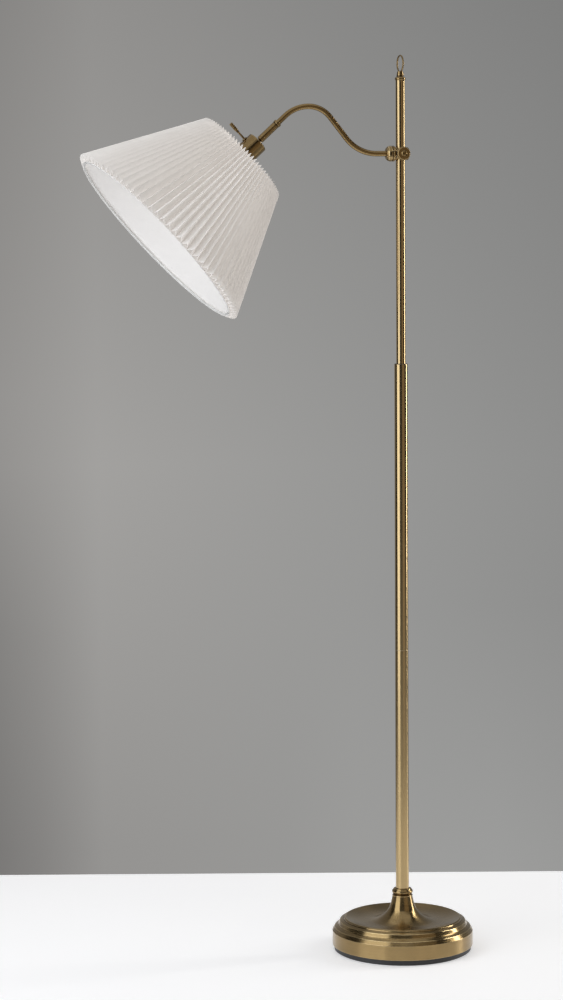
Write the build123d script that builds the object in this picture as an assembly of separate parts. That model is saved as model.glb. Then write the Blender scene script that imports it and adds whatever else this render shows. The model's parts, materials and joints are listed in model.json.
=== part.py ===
"""Telescopic brass floor lamp with an S-curved arm and a pleated empire shade.

Frame: millimetres, +Z up. The origin is the centre of the underside of the floor pad, the pole
stands on the Z axis, and the arm reaches out towards -X in the plane Y = 0.
"""

import os
from math import atan2, cos, radians, sin

from build123d import *

# Overall
LAMP_HEIGHT = 1550.0
FIT = 0.05          # radial gap of a running fit
GAP = 0.3           # plain gap between pieces that move past each other

# Weighted base
BASE_R = 122.8
PAD_R = 116.0
PAD_T = 2.0
TRAY_R = 119.5
TRAY_TOP = 10.0
TRAY_WALL = 5.0
COVER_Z = 10.3
SHOULDER_Z = 35.2
COVER_T = 1.4
NECK_TOP_Z = 95.0
NECK_R = 17.3
WEIGHT_TOP = 24.0
NIPPLE_R = 5.0
NIPPLE_BORE_R = 3.5
CORD_Z = 15.0
CORD_HOLE_R = 4.6
LEAD_R = 1.5

# Telescopic pole
LOWER_R = 11.5
TUBE_BORE_R = 10.5
LOWER_Z = 100.0
SEAM_Z = 528.6
LOWER_TOP_Z = 1024.2
UPPER_R = 8.0
UPPER_BORE_R = 7.0
UPPER_Z = 890.0
UPPER_TOP_Z = 1506.5
BUSH_LENGTH = 24.0
SLIDER_Z = 903.0
SLIDER_LENGTH = 15.0

# Finial
LOOP_WIRE_R = 1.35
LOOP_R = 13.7
LOOP_TURN = 5.0
LOOP_Z = LAMP_HEIGHT - LOOP_R - LOOP_WIRE_R

# Arm and its joint on the pole
ARM_Z = 1383.0
ARM_R = 4.8
ARM_BORE_R = 3.8
HUB_R = 11.0
HUB_LEFT = 9.0
HUB_RIGHT = 12.0
DRUM_R = 13.5
DRUM_FROM = 10.0
DRUM_TO = 26.0
BOSS_R = 7.0
BOSS_Y = 17.0
KNOB_R = 11.5
KNOB_T = 6.0
FIRST_RUN = 42.5
RISE_RADIUS = 67.0
RISE_ANGLE = 51.5
RISE_RUN = 46.0
CREST_RISE_RADIUS = 48.0
CREST_FALL_RADIUS = 60.0
HEAD_ANGLE = 42.5
SLEEVE_START = 17.0
BALL_ALONG = 57.0
SLEEVE_R = 6.25

# Head, measured along its own axis from the centre of the swivel ball
BALL_R = 5.2
CAP_R = 18.5
CAP_T = 1.2
CAP_TOP = 8.0
CAP_END = 54.0
SWITCH_AT = 22.0
SOCKET_R = 16.6
SOCKET_END = 63.0
SHELL_BORE_R = 13.3
SOCKET_FLOOR = 33.2
SHELL_START = 37.0
SHELL_END = 61.0
KEY_TIP = 54.5
SHADE_TOP = 46.7            # the pleats' outer folds, at the narrow end
SHADE_END = 242.5           # the pleats' outer folds, at the mouth
SHADE_TOP_R = 89.2
SHADE_END_R = 187.5
PLEAT_TOP_DEPTH = 13.5
PLEAT_END_DEPTH = 12.5
LINER_T = 0.8
RING_WIRE_R = 1.6


def spun(*outline):
    """A solid of revolution about Z from a closed outline of (radius, height) points."""
    points = [(r, 0, z) for r, z in outline]
    return revolve(make_face(Polyline(*points, close=True)), Axis.Z)


def tube(outer_r, bore_r, low, high):
    """A plain tube, or a rod where the bore is 0, on the Z axis."""
    return spun((bore_r, low), (outer_r, low), (outer_r, high), (bore_r, high))


def rod(start, end, radius):
    """A round rod between two points."""
    path = Line(start, end)
    return sweep(Plane(origin=start, z_dir=path % 0) * Circle(radius), path=path)


def hex_nut(across_flats, bore_r, low, high):
    """A hexagon nut on the Z axis."""
    body = extrude(RegularPolygon(across_flats / 2, 6, major_radius=False), high - low)
    return Pos(0, 0, low) * body - tube(bore_r, 0, low - 1, high + 1)


def bead(major_r, minor_r, height):
    """A round bead about the Z axis."""
    return Pos(0, 0, height) * Torus(major_r, minor_r)


def bent_path(start, heading, steps):
    """A path in the plane Y = 0: a step is a length, or a (radius, turn) pair, turn up positive.

    The heading is degrees above the direction -X. Returns the wire, its end point and heading.
    """
    x, z = start
    edges = []
    for step in steps:
        ahead = Vector(-cos(radians(heading)), 0, sin(radians(heading)))
        here = Vector(x, 0, z)
        if isinstance(step, tuple):
            radius, turn = step
            side = 1 if turn > 0 else -1
            up = Vector(sin(radians(heading)), 0, cos(radians(heading))) * side
            swing = radians(abs(turn))
            middle = here + ahead * radius * sin(swing / 2) + up * radius * (1 - cos(swing / 2))
            there = here + ahead * radius * sin(swing) + up * radius * (1 - cos(swing))
            edges.append(ThreePointArc(here, middle, there))
            heading += turn
        else:
            there = here + ahead * step
            edges.append(Line(here, there))
        x, z = there.X, there.Z
    return Wire(edges), Vector(x, 0, z), heading


def swept_round(path, radius):
    """A round bar along a path."""
    section = Plane(origin=path @ 0, z_dir=path % 0) * Circle(radius)
    return sweep(section, path=path)


# The arm's tube runs from inside the hub, out of the drum, up, over the crest and down the head's axis.
ARM_STEPS = [
    FIRST_RUN,
    (RISE_RADIUS, RISE_ANGLE),
    RISE_RUN,
    (CREST_RISE_RADIUS, -RISE_ANGLE),
    (CREST_FALL_RADIUS, -HEAD_ANGLE),
]
_, CREST_END, _ = bent_path((0, ARM_Z), 0, ARM_STEPS)
HEAD_DIR = Vector(-cos(radians(HEAD_ANGLE)), 0, -sin(radians(HEAD_ANGLE)))
HEAD_UP = Vector(-sin(radians(HEAD_ANGLE)), 0, cos(radians(HEAD_ANGLE)))
BALL_CENTRE = CREST_END + HEAD_DIR * BALL_ALONG

SLEEVE_FRAME = Plane(origin=CREST_END, x_dir=HEAD_UP, z_dir=HEAD_DIR)
HEAD_FRAME = Plane(origin=BALL_CENTRE, x_dir=HEAD_UP, z_dir=HEAD_DIR)
ARM_FRAME = Plane(origin=(0, 0, ARM_Z), x_dir=(0, 0, 1), z_dir=(-1, 0, 0))
KNOB_FRAME = Plane(origin=(0, 0, ARM_Z), x_dir=(1, 0, 0), z_dir=(0, -1, 0))


def cover_outline():
    """The outside of the base cover as (radius, height) corners, with a rounding for each inner one."""
    corners = [
        ((BASE_R, COVER_Z), None),
        ((BASE_R, SHOULDER_Z), 1.0),
        ((118.6, 41.6), 12.0),
        ((112.6, 45.2), 0.4),
        ((112.0, 47.0), 0.4),
        ((109.6, 52.4), 4.0),
        ((103.4, 55.2), 0.4),
        ((102.6, 56.6), 0.4),
        ((99.6, 58.0), 1.6),
        ((70.0, 50.0), 100.0),
        ((33.0, 54.0), 45.0),
        ((21.8, 76.0), 80.0),
        ((NECK_R, NECK_TOP_Z), None),
    ]
    points = [Vector(r, 0, z) for (r, z), _ in corners]
    radii = [rounding for _, rounding in corners[1:-1]]
    return FilletPolyline(*points, radius=radii)


def cover_solid(shift):
    """Everything under the cover's outline, with the outline moved in and down by a shift."""
    outline = Pos(-shift, 0, -shift) * cover_outline()
    top = outline @ 1
    bottom = outline @ 0
    rest = Polyline(top, (0, 0, top.Z), (0, 0, bottom.Z), bottom)
    return revolve(make_face([*outline.edges(), *rest.edges()]), Axis.Z)


def build_base():
    """The weighted base: pad, tray, iron weight, spun cover, nipple and its fasteners, cord inlet."""
    slot = Pos(0, BASE_R / 2 + 5, PAD_T + 11) * Box(12, BASE_R, 16)
    nut_recess = tube(14, 0, 3, 14.5)
    weight = tube(PAD_R - 2.4, NIPPLE_R + 0.3, PAD_T + 2, TRAY_TOP + 0.2)
    weight += tube(BASE_R - COVER_T - 0.5, NIPPLE_R + 0.3, TRAY_TOP + 0.2, WEIGHT_TOP)
    screw_places = [rotation * Pos(92, 0, 0) for rotation in (Rot(0, 0, 45 + 90 * i) for i in range(4))]
    screw_hole = tube(1.7, 0, PAD_T, 16)
    screw = spun((0, PAD_T), (3.2, PAD_T), (1.6, PAD_T + 1.8), (1.6, 14), (0, 14))
    tray = tube(TRAY_R, 9.0, PAD_T, PAD_T + 2)
    tray += tube(TRAY_R, TRAY_R - TRAY_WALL, PAD_T + 1, TRAY_TOP)
    countersink = spun((0, PAD_T - 1), (3.3, PAD_T - 1), (3.3, PAD_T), (1.7, PAD_T + 1.9), (1.7, 5), (0, 5))
    for place in screw_places:
        tray -= place * countersink
        weight -= place * screw_hole
    cover = cover_solid(0) - cover_solid(COVER_T)
    cover -= tube(NIPPLE_R + 3.6, 0, NECK_TOP_Z - 10, NECK_TOP_Z + 5)
    inlet = Plane(origin=(0, 0, CORD_Z), x_dir=(1, 0, 0), z_dir=(0, 1, 0))
    cover -= inlet * tube(CORD_HOLE_R, 0, BASE_R - 6, BASE_R + 6)
    bush = tube(CORD_HOLE_R, 3.4, BASE_R - 8, BASE_R + 0.4)
    bush += tube(CORD_HOLE_R + 1.6, 3.4, BASE_R + 0.2, BASE_R + 2.4)
    collar = spun(
        (NIPPLE_R + FIT, NECK_TOP_Z), (17.8, NECK_TOP_Z), (17.8, NECK_TOP_Z + 1.6), (15.6, NECK_TOP_Z + 2.4),
        (15.6, 108.0), (13.0, 109.0), (LOWER_R + FIT, 109.0), (LOWER_R + FIT, LOWER_Z),
        (NIPPLE_R + FIT, LOWER_Z),
    )
    collar += bead(13.6, 4.6, 102.6) - tube(13.6, 0, 90, 115)
    return {
        "floor_pad": tube(PAD_R, 0, 0, PAD_T),
        "base_tray": tray,
        "tray_screws": Compound(children=[place * screw for place in screw_places]),
        "base_weight": weight - nut_recess - slot,
        "base_cover": cover,
        "cord_inlet_bush": inlet * bush,
        "tie_nipple": tube(NIPPLE_R, NIPPLE_BORE_R, 5.0, 128.0),
        "nipple_nut": hex_nut(17, NIPPLE_R + FIT, 6.5, 12.5),
        "nipple_washer": tube(12, NIPPLE_R + FIT, 12.7, 14.4),
        "spacer_tube": tube(8.0, NIPPLE_R + 0.5, WEIGHT_TOP, NECK_TOP_Z - FIT),
        "neck_collar": collar,
        "pole_foot_insert": tube(TUBE_BORE_R - FIT, NIPPLE_R + FIT, LOWER_Z + 0.5, 130.0),
        "base_lead": tube(LEAD_R, 0, 16.0, 160.0),
    }


def build_lower_pole():
    """The thick lower pole: two tubes on a coupler, with the nylon guide bush in the top."""
    bush_low = LOWER_TOP_Z - BUSH_LENGTH
    bush = tube(TUBE_BORE_R - FIT, UPPER_R + FIT, bush_low, LOWER_TOP_Z)
    bush += tube(LOWER_R - 0.4, UPPER_R + FIT, LOWER_TOP_Z, LOWER_TOP_Z + 0.8)
    return {
        "lower_pole_bottom": tube(LOWER_R, TUBE_BORE_R, LOWER_Z, SEAM_Z - 0.2),
        "pole_coupler": tube(TUBE_BORE_R - FIT, TUBE_BORE_R - 1.5, SEAM_Z - 30, SEAM_Z + 30),
        "lower_pole_top": tube(LOWER_R, TUBE_BORE_R, SEAM_Z + 0.2, LOWER_TOP_Z),
        "guide_bush": bush,
    }


def build_slider():
    """The nylon slider that runs in the lower pole and lets the upper pole turn in it."""
    return {
        "pole_slider": tube(TUBE_BORE_R - FIT, UPPER_R + FIT, SLIDER_Z, SLIDER_Z + SLIDER_LENGTH),
    }


def build_upper_pole():
    """The thin upper pole with its end plug, stop collar, lead, finial and the arm's hub."""
    across = ARM_FRAME * tube(ARM_R + FIT, 0, -20, 20)
    front_hole = KNOB_FRAME * tube(2.6, 0, 4, 20)
    pole = tube(UPPER_R, UPPER_BORE_R, UPPER_Z, UPPER_TOP_Z) - across - front_hole
    plug = tube(UPPER_BORE_R - FIT, 3.0, UPPER_Z, UPPER_Z + 12)
    plug += tube(9.8, 3.0, UPPER_Z - 5, UPPER_Z - FIT)
    plug += tube(6.0, 3.0, UPPER_Z - 1, UPPER_Z + 1)
    lower_stop = tube(9.8, UPPER_R + FIT, SLIDER_Z - 5, SLIDER_Z - 0.2)
    upper_stop = tube(9.8, UPPER_R + FIT, SLIDER_Z + SLIDER_LENGTH + 0.2, SLIDER_Z + SLIDER_LENGTH + 5)
    hub = ARM_FRAME * tube(HUB_R, 0, -HUB_RIGHT, HUB_LEFT)
    hub += KNOB_FRAME * tube(BOSS_R, 0, 0, BOSS_Y)
    hub -= tube(UPPER_R + FIT, 0, ARM_Z - 20, ARM_Z + 20)
    hub -= across + front_hole
    hub -= ARM_FRAME * tube(7.2, 0, -HUB_RIGHT - 1, -UPPER_R - 1.4)
    hub_plug = ARM_FRAME * spun(
        (0, -HUB_RIGHT - 5.0), (4.5, -HUB_RIGHT - 4.2), (8.5, -HUB_RIGHT - 2.2),
        (HUB_R, -HUB_RIGHT - 0.6), (HUB_R, -HUB_RIGHT), (0, -HUB_RIGHT),
    )
    grub = Plane(origin=(0, 0, ARM_Z), x_dir=(1, 0, 0), z_dir=(0, 1, 0))
    hub -= grub * tube(2.0, 0, UPPER_R - 1, HUB_R + 2)
    finial = spun(
        (0, UPPER_TOP_Z - 12), (UPPER_BORE_R - FIT, UPPER_TOP_Z - 12), (UPPER_BORE_R - FIT, UPPER_TOP_Z),
        (8.6, UPPER_TOP_Z), (8.6, UPPER_TOP_Z + 5.4), (6.4, UPPER_TOP_Z + 6.2), (6.0, UPPER_TOP_Z + 10),
        (5.0, LOOP_Z - LOOP_R + 0.6), (0, LOOP_Z - LOOP_R + 1.0),
    )
    finial += bead(6.7, 2.6, UPPER_TOP_Z + 2.8)
    loop = Pos(0, 0, LOOP_Z) * Rot(0, 0, LOOP_TURN) * Rot(0, 90, 0) * Torus(LOOP_R, LOOP_WIRE_R)
    return {
        "upper_pole": pole,
        "pole_end_plug": plug,
        "slider_stop_lower": lower_stop,
        "slider_stop_upper": upper_stop,
        "upper_lead": tube(LEAD_R, 0, UPPER_Z - 20, ARM_Z - ARM_R - 6),
        "arm_hub": hub,
        "hub_end_plug": hub_plug,
        "hub_grub_screw": grub * tube(1.9, 0, UPPER_R + 0.1, HUB_R - 0.4),
        "finial_collar": finial - loop,
        "finial_loop": loop,
    }


def build_lock_knob():
    """The front thumb knob whose screw grips the arm's end inside the hub."""
    knob = spun(
        (0, BOSS_Y + GAP), (KNOB_R - 1.2, BOSS_Y + GAP), (KNOB_R, BOSS_Y + GAP + 1.2),
        (KNOB_R, BOSS_Y + KNOB_T - 1.4), (KNOB_R - 1.4, BOSS_Y + KNOB_T),
        (5.4, BOSS_Y + KNOB_T), (5.4, BOSS_Y + KNOB_T - 1.6), (0, BOSS_Y + KNOB_T - 1.6),
    )
    flute = Pos(KNOB_R + 0.55, 0, BOSS_Y) * Cylinder(0.9, 20)
    flute_count = 30
    for i in range(flute_count):
        knob -= Rot(0, 0, 360 * i / flute_count) * flute
    screw = tube(2.5, 0, ARM_R + 0.15, BOSS_Y + KNOB_T - 1.6)
    head_low = BOSS_Y + KNOB_T - 1.6
    head = spun(
        (0, head_low), (5.0, head_low), (5.0, head_low + 2.2), (3.6, head_low + 3.6), (0, head_low + 4.2),
    )
    head -= Rot(0, 0, 62) * Pos(0, 0, head_low + 4.4) * Box(12, 1.3, 3.2)
    return {
        "lock_knob": KNOB_FRAME * (knob - tube(2.5 + FIT, 0, 0, BOSS_Y + KNOB_T)),
        "lock_screw": KNOB_FRAME * (screw + head),
    }


def build_arm():
    """The S-curved arm: tube, end clip, fibre washer, drum, lead, sleeve and the ball's seat."""
    start = (UPPER_R + 3.0, ARM_Z)
    steps = [FIRST_RUN + start[0], *ARM_STEPS[1:], BALL_ALONG - 14.0]
    path, _, _ = bent_path(start, 0, steps)
    lead_steps = [FIRST_RUN - DRUM_TO, *ARM_STEPS[1:], BALL_ALONG - 20.0]
    lead_path, _, _ = bent_path((-DRUM_TO, ARM_Z), 0, lead_steps)
    entry = Pos(0, 0, ARM_Z - ARM_R) * Box(9, 6, 4)
    screw_seat = Pos(0, -ARM_R, ARM_Z) * Box(7, 0.2, 7)
    tube_solid = swept_round(path, ARM_R) - swept_round(path, ARM_BORE_R) - entry - screw_seat
    drum = spun(
        (ARM_R + FIT, DRUM_FROM), (10.6, DRUM_FROM), (10.6, 11.2), (12.6, 11.2), (DRUM_R, 12.2),
        (DRUM_R, 14.4), (12.7, 15.0), (12.7, 15.8), (DRUM_R, 16.4), (DRUM_R, 18.2), (12.4, 22.4),
        (9.6, DRUM_TO - 0.6), (7.4, DRUM_TO), (ARM_R + FIT, DRUM_TO),
    )
    clip_at = -UPPER_R - 2.2
    clip = tube(6.6, ARM_R + FIT, clip_at - 0.5, clip_at + 0.5)
    sleeve_low = SLEEVE_START
    sleeve = spun(
        (ARM_R + FIT, sleeve_low), (6.2, sleeve_low), (6.9, sleeve_low + 0.8), (6.9, sleeve_low + 4.4),
        (SLEEVE_R, sleeve_low + 5.2), (SLEEVE_R, BALL_ALONG - 3.5), (5.4, BALL_ALONG - 3.5),
        (5.4, BALL_ALONG - 13.8), (ARM_R + FIT, BALL_ALONG - 13.8),
    )
    ball_room = Pos(0, 0, BALL_ALONG) * Sphere(BALL_R + FIT)
    seat = tube(5.35, 2.2, BALL_ALONG - 12, BALL_ALONG - 3.5) - ball_room
    retainer = tube(SLEEVE_R, 0, BALL_ALONG - 3.4, BALL_ALONG + 3.0) - ball_room
    retainer -= spun((0, BALL_ALONG), (3.6, BALL_ALONG), (4.6, BALL_ALONG + 4), (0, BALL_ALONG + 4))
    return {
        "arm_tube": tube_solid,
        "arm_end_clip": ARM_FRAME * clip,
        "arm_washer": ARM_FRAME * tube(10.4, ARM_R + FIT, HUB_LEFT + 0.15, DRUM_FROM - FIT),
        "arm_drum": ARM_FRAME * drum,
        "arm_lead": swept_round(lead_path, LEAD_R),
        "arm_sleeve": SLEEVE_FRAME * sleeve,
        "ball_seat": SLEEVE_FRAME * seat,
        "ball_retainer": SLEEVE_FRAME * retainer,
    }


def build_swivel():
    """The ball with its hollow stem, and the nut that holds the cap on the stem."""
    ball = Sphere(BALL_R)
    ball += tube(2.4, 0, 0, CAP_TOP - 1.2)
    ball += tube(5.0, 0, CAP_TOP - 1.4, CAP_TOP - 0.15)
    ball += tube(4.0, 0, CAP_TOP - 0.2, CAP_TOP + 6.0)
    ball -= tube(1.3, 0, -BALL_R - 1, CAP_TOP + 7)
    nut = hex_nut(11, 4.0 + FIT, CAP_TOP + CAP_T + 0.2, CAP_TOP + CAP_T + 4.2)
    return {
        "swivel_ball": HEAD_FRAME * ball,
        "swivel_nut": HEAD_FRAME * nut,
    }


def build_holder():
    """The lamp holder: cap, switch body, phenolic socket, screw shell, contacts and ring nut."""
    key_frame = HEAD_FRAME * Plane(origin=(0, 0, SWITCH_AT), x_dir=(0, 1, 0), z_dir=(1, 0, 0))
    cap = spun(
        (4.0 + FIT, CAP_TOP), (CAP_R - 1.0, CAP_TOP), (CAP_R, CAP_TOP + 1.0), (CAP_R, CAP_END),
        (CAP_R - CAP_T, CAP_END), (CAP_R - CAP_T, CAP_TOP + CAP_T), (4.0 + FIT, CAP_TOP + CAP_T),
    )
    cap = HEAD_FRAME * cap - key_frame * tube(3.1, 0, 10, 25)
    switch = HEAD_FRAME * tube(12.5, 0, CAP_TOP + 7.0, 29.8) - key_frame * tube(1.75 + FIT, 0, -2, 20)
    bushing = tube(3.0, 1.75 + FIT, 12.7, CAP_R + 1.8)
    bushing += tube(4.6, 1.75 + FIT, CAP_R + 0.1, CAP_R + 1.8)
    body = spun(
        (0, 30.0), (SOCKET_R, 30.0), (CAP_R - CAP_T - FIT, 30.0), (CAP_R - CAP_T - FIT, 35.0),
        (SOCKET_R, 35.0), (SOCKET_R, SOCKET_END), (SHELL_BORE_R + 1.1, SOCKET_END),
        (SHELL_BORE_R + 1.1, SHELL_START - FIT), (13.0, SHELL_START - FIT), (13.0, SOCKET_FLOOR),
        (0, SOCKET_FLOOR),
    )
    contact = spun(
        (0, SOCKET_FLOOR + 1.2), (3.2, SOCKET_FLOOR + 1.2), (3.2, SOCKET_FLOOR + 2.0),
        (1.8, SOCKET_FLOOR + 3.4), (0, SOCKET_FLOOR + 3.6),
    )
    return {
        "socket_cap": cap,
        "switch_body": switch,
        "switch_bushing": key_frame * bushing,
        "socket_body": HEAD_FRAME * body,
        "socket_insulator": HEAD_FRAME * tube(12.8, 0, SOCKET_FLOOR + 0.2, SOCKET_FLOOR + 1.1),
        "screw_shell": HEAD_FRAME * tube(SHELL_BORE_R + 1.0, SHELL_BORE_R, SHELL_START, SHELL_END),
        "centre_contact": HEAD_FRAME * contact,
        "socket_ring_nut": HEAD_FRAME * tube(22.0, SOCKET_R + FIT, 57.0, 62.0),
    }


def cone_point(along, inward):
    """A (radius, height) point on the line of the pleats' outer folds, moved square to it, inwards.

    Along is 0 at the narrow end and 1 at the mouth.
    """
    slope = atan2(SHADE_END_R - SHADE_TOP_R, SHADE_END - SHADE_TOP)
    radius = SHADE_TOP_R + along * (SHADE_END_R - SHADE_TOP_R) - inward * cos(slope)
    height = SHADE_TOP + along * (SHADE_END - SHADE_TOP) + inward * sin(slope)
    return radius, height


def build_shade():
    """The shade: spider with its top ring, bottom ring, smooth liner and the pleated cover."""
    air = 0.4
    top_ring_r, top_ring_at = cone_point(0.02, PLEAT_TOP_DEPTH + air + LINER_T + RING_WIRE_R + air)
    end_ring_r, end_ring_at = cone_point(0.985, PLEAT_END_DEPTH + air + LINER_T + RING_WIRE_R + air)
    spider = tube(21.5, SOCKET_R + 0.4, CAP_END + 0.2, CAP_END + 2.2)
    spider += bead(top_ring_r, RING_WIRE_R, top_ring_at)
    spoke = rod((20.2, 0, CAP_END + 1.2), (top_ring_r, 0, top_ring_at), RING_WIRE_R - 0.2)
    for turn in (60, 180, 300):
        spider += Rot(0, 0, turn) * spoke
    spider -= tube(SOCKET_R + 0.4, 0, SHADE_TOP, SHADE_TOP + 20)
    cover = spun(
        cone_point(0, PLEAT_TOP_DEPTH), cone_point(0, 0), cone_point(1, 0), cone_point(1, PLEAT_END_DEPTH),
    )
    liner = spun(
        cone_point(0, PLEAT_TOP_DEPTH + air + LINER_T), cone_point(0, PLEAT_TOP_DEPTH + air),
        cone_point(1, PLEAT_END_DEPTH + air), cone_point(1, PLEAT_END_DEPTH + air + LINER_T),
    )
    return {
        "shade_spider": HEAD_FRAME * spider,
        "shade_bottom_ring": HEAD_FRAME * bead(end_ring_r, RING_WIRE_R, end_ring_at),
        "shade_liner": HEAD_FRAME * liner,
        "shade_cover": HEAD_FRAME * cover,
    }


def build_key():
    """The rotary switch's spindle and its slim key."""
    key_frame = HEAD_FRAME * Plane(origin=(0, 0, SWITCH_AT), x_dir=(0, 1, 0), z_dir=(1, 0, 0))
    key = spun(
        (0, 34.6), (2.0, 34.6), (2.3, 36.5), (3.0, 41.0), (3.0, KEY_TIP - 0.5), (2.6, KEY_TIP), (0, KEY_TIP),
    )
    return {
        "switch_spindle": key_frame * tube(1.75, 0, 2.0, 37.0),
        "switch_key": key_frame * (key - tube(1.75 + 0.02, 0, 30, 37.1)),
    }


def main():
    """Builds every piece and writes one file for each."""
    nodes = {}
    for build in (
        build_base, build_lower_pole, build_slider, build_upper_pole, build_lock_knob,
        build_arm, build_swivel, build_holder, build_shade, build_key,
    ):
        nodes.update(build())
    os.makedirs("parts", exist_ok=True)
    for name, shape in nodes.items():
        export_step(shape, f"parts/{name}.step")
    print(len(nodes), "nodes; ball centre", BALL_CENTRE, "head direction", HEAD_DIR)


main()
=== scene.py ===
"""The looks of a telescopic brass floor lamp with an S-curved arm and a knife-pleated shade.

Sizes are in millimetres until a mesh is made, where they turn into metres. A turned piece is
drawn as an outline of (radius, height) corners in the frame of its own axis.
"""

import json
import logging
import math
from collections.abc import Sequence
from dataclasses import dataclass, field
from enum import Enum

import bpy
from mathutils import Matrix, Vector


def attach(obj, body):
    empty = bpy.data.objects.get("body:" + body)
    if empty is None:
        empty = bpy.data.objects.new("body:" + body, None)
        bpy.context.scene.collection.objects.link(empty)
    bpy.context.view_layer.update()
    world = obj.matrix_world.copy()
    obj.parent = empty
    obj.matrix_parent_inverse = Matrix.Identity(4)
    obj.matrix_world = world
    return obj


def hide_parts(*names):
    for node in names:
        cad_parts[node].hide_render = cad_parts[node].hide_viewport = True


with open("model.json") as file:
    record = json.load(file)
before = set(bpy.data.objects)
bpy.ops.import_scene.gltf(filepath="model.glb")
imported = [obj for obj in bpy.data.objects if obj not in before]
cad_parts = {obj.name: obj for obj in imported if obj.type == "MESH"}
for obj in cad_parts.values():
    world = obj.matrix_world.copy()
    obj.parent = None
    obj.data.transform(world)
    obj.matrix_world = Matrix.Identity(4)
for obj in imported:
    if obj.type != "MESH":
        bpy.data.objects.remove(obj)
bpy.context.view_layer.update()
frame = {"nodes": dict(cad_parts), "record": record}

LOG = logging.getLogger("floor_lamp")
MM = 0.001
EDGE = 0.25            # the rounding of an edge that nothing else rounds
HOLD = 0.35            # how far beside a rounding the flat starts again
HOLLOW = 2.6           # how far the dark beside an inner corner spreads: patina and painted shade
DARK_HELD = 0.9            # how far beside an inner corner the dark stays full
ARC_STEP = math.radians(9)
ARC_LENGTH = 2.0
SHARP_ANGLE = math.radians(40)
TURN_UV = "turn"
WEAR_AND_SHADE = "wear_and_shade"
CLOTH_UV = "cloth"

Color = tuple[float, float, float]
Outline = Sequence[tuple[float, ...]]


# --- Frames -----------------------------------------------------------------------------------


def seat(origin: Sequence[float], axis: Sequence[float], side: Sequence[float]) -> Matrix:
    """A frame in millimetres.

    Args:
        origin: The frame's origin.
        axis: The direction of its Z.
        side: The direction of its X, square to the axis.

    Returns:
        The matrix that takes a point in the frame to the lamp.
    """
    z_axis = Vector(axis).normalized()
    x_axis = Vector(side).normalized()
    y_axis = z_axis.cross(x_axis)
    rotation = Matrix((x_axis, y_axis, z_axis)).transposed().to_4x4()
    return Matrix.Translation(Vector(origin)) @ rotation


UPRIGHT = Matrix.Identity(4)


# --- Nodes ------------------------------------------------------------------------------------


class Nodes:
    """Adds nodes to a tree and joins them, so that a tree reads as a list of steps."""

    def __init__(self, tree: bpy.types.NodeTree) -> None:
        """Starts on a tree."""
        self.tree = tree

    def add(self, kind: str, feeds: dict | None = None, **settings: object) -> bpy.types.Node:
        """Adds a node.

        Args:
            kind: The node's type.
            feeds: What goes into its inputs, by name or number: a socket or a value.
            **settings: The node's own settings.

        Returns:
            The node.
        """
        node = self.tree.nodes.new(kind)
        for name, value in settings.items():
            setattr(node, name, value)
        for key, value in (feeds or {}).items():
            self.feed(node.inputs[key], value)
        return node

    def feed(self, socket: bpy.types.NodeSocket, value: object) -> None:
        """Joins a socket to an input, or sets the input's value.

        Args:
            socket: The input.
            value: An output socket, or a value.
        """
        if isinstance(value, bpy.types.NodeSocket):
            self.tree.links.new(value, socket)
        else:
            socket.default_value = value

    def math(self, operation: str, *values: object, clamp: bool = False) -> bpy.types.NodeSocket:
        """The result of a Math node on up to three values.

        Args:
            operation: The node's operation.
            *values: Its inputs, each a socket or a number.
            clamp: Whether the result is held between 0 and 1.

        Returns:
            The node's output.
        """
        kind = "ShaderNodeMath"
        node = self.add(kind, dict(enumerate(values)), operation=operation, use_clamp=clamp)
        return node.outputs[0]

    def times(self, *values: object, clamp: bool = False) -> bpy.types.NodeSocket:
        """The product of two values."""
        return self.math("MULTIPLY", *values, clamp=clamp)

    def plus(self, *values: object, clamp: bool = False) -> bpy.types.NodeSocket:
        """The sum of two values."""
        return self.math("ADD", *values, clamp=clamp)

    def minus(self, *values: object) -> bpy.types.NodeSocket:
        """The first value less the second."""
        return self.math("SUBTRACT", *values)

    def vector(self, operation: str, *values: object) -> bpy.types.NodeSocket:
        """The vector result of a Vector Math node."""
        return self.add("ShaderNodeVectorMath", dict(enumerate(values)), operation=operation).outputs[0]

    def join(self, x: object, y: object, z: object) -> bpy.types.NodeSocket:
        """A vector from three values."""
        return self.add("ShaderNodeCombineXYZ", {0: x, 1: y, 2: z}).outputs[0]

    def split(self, vector: bpy.types.NodeSocket) -> tuple[bpy.types.NodeSocket, ...]:
        """The three parts of a vector."""
        return tuple(self.add("ShaderNodeSeparateXYZ", {0: vector}).outputs)

    def noise(
        self, vector: object, scale: float, detail: float = 2.0, rough: float = 0.5
    ) -> bpy.types.NodeSocket:
        """A noise value from 0 to 1."""
        feeds = {"Vector": vector, "Scale": scale, "Detail": detail, "Roughness": rough}
        return self.add("ShaderNodeTexNoise", feeds).outputs[0]

    def spread(
        self, value: object, low: float, high: float, to_low: float, to_high: float
    ) -> bpy.types.NodeSocket:
        """A value mapped from one range to another, and held inside it."""
        feeds = {0: value, 1: low, 2: high, 3: to_low, 4: to_high}
        return self.add("ShaderNodeMapRange", feeds, clamp=True).outputs[0]

    def mix(self, share: object, first: object, second: object) -> bpy.types.NodeSocket:
        """A colour between two.

        Args:
            share: How much of the second colour there is, from 0 to 1.
            first: The first colour.
            second: The second colour.

        Returns:
            The mixed colour.
        """
        node = self.add("ShaderNodeMix", data_type="RGBA")
        for socket, value in zip((node.inputs[0], node.inputs[6], node.inputs[7]), (share, first, second)):
            if isinstance(value, tuple):
                value = (*value, 1.0)
            self.feed(socket, value)
        return node.outputs[2]


class Kind(Enum):
    """The kinds of socket that the trees here have."""

    VALUE = "NodeSocketFloat"
    COUNT = "NodeSocketInt"
    VECTOR = "NodeSocketVector"
    SHAPE = "NodeSocketGeometry"
    MATERIAL = "NodeSocketMaterial"


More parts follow.
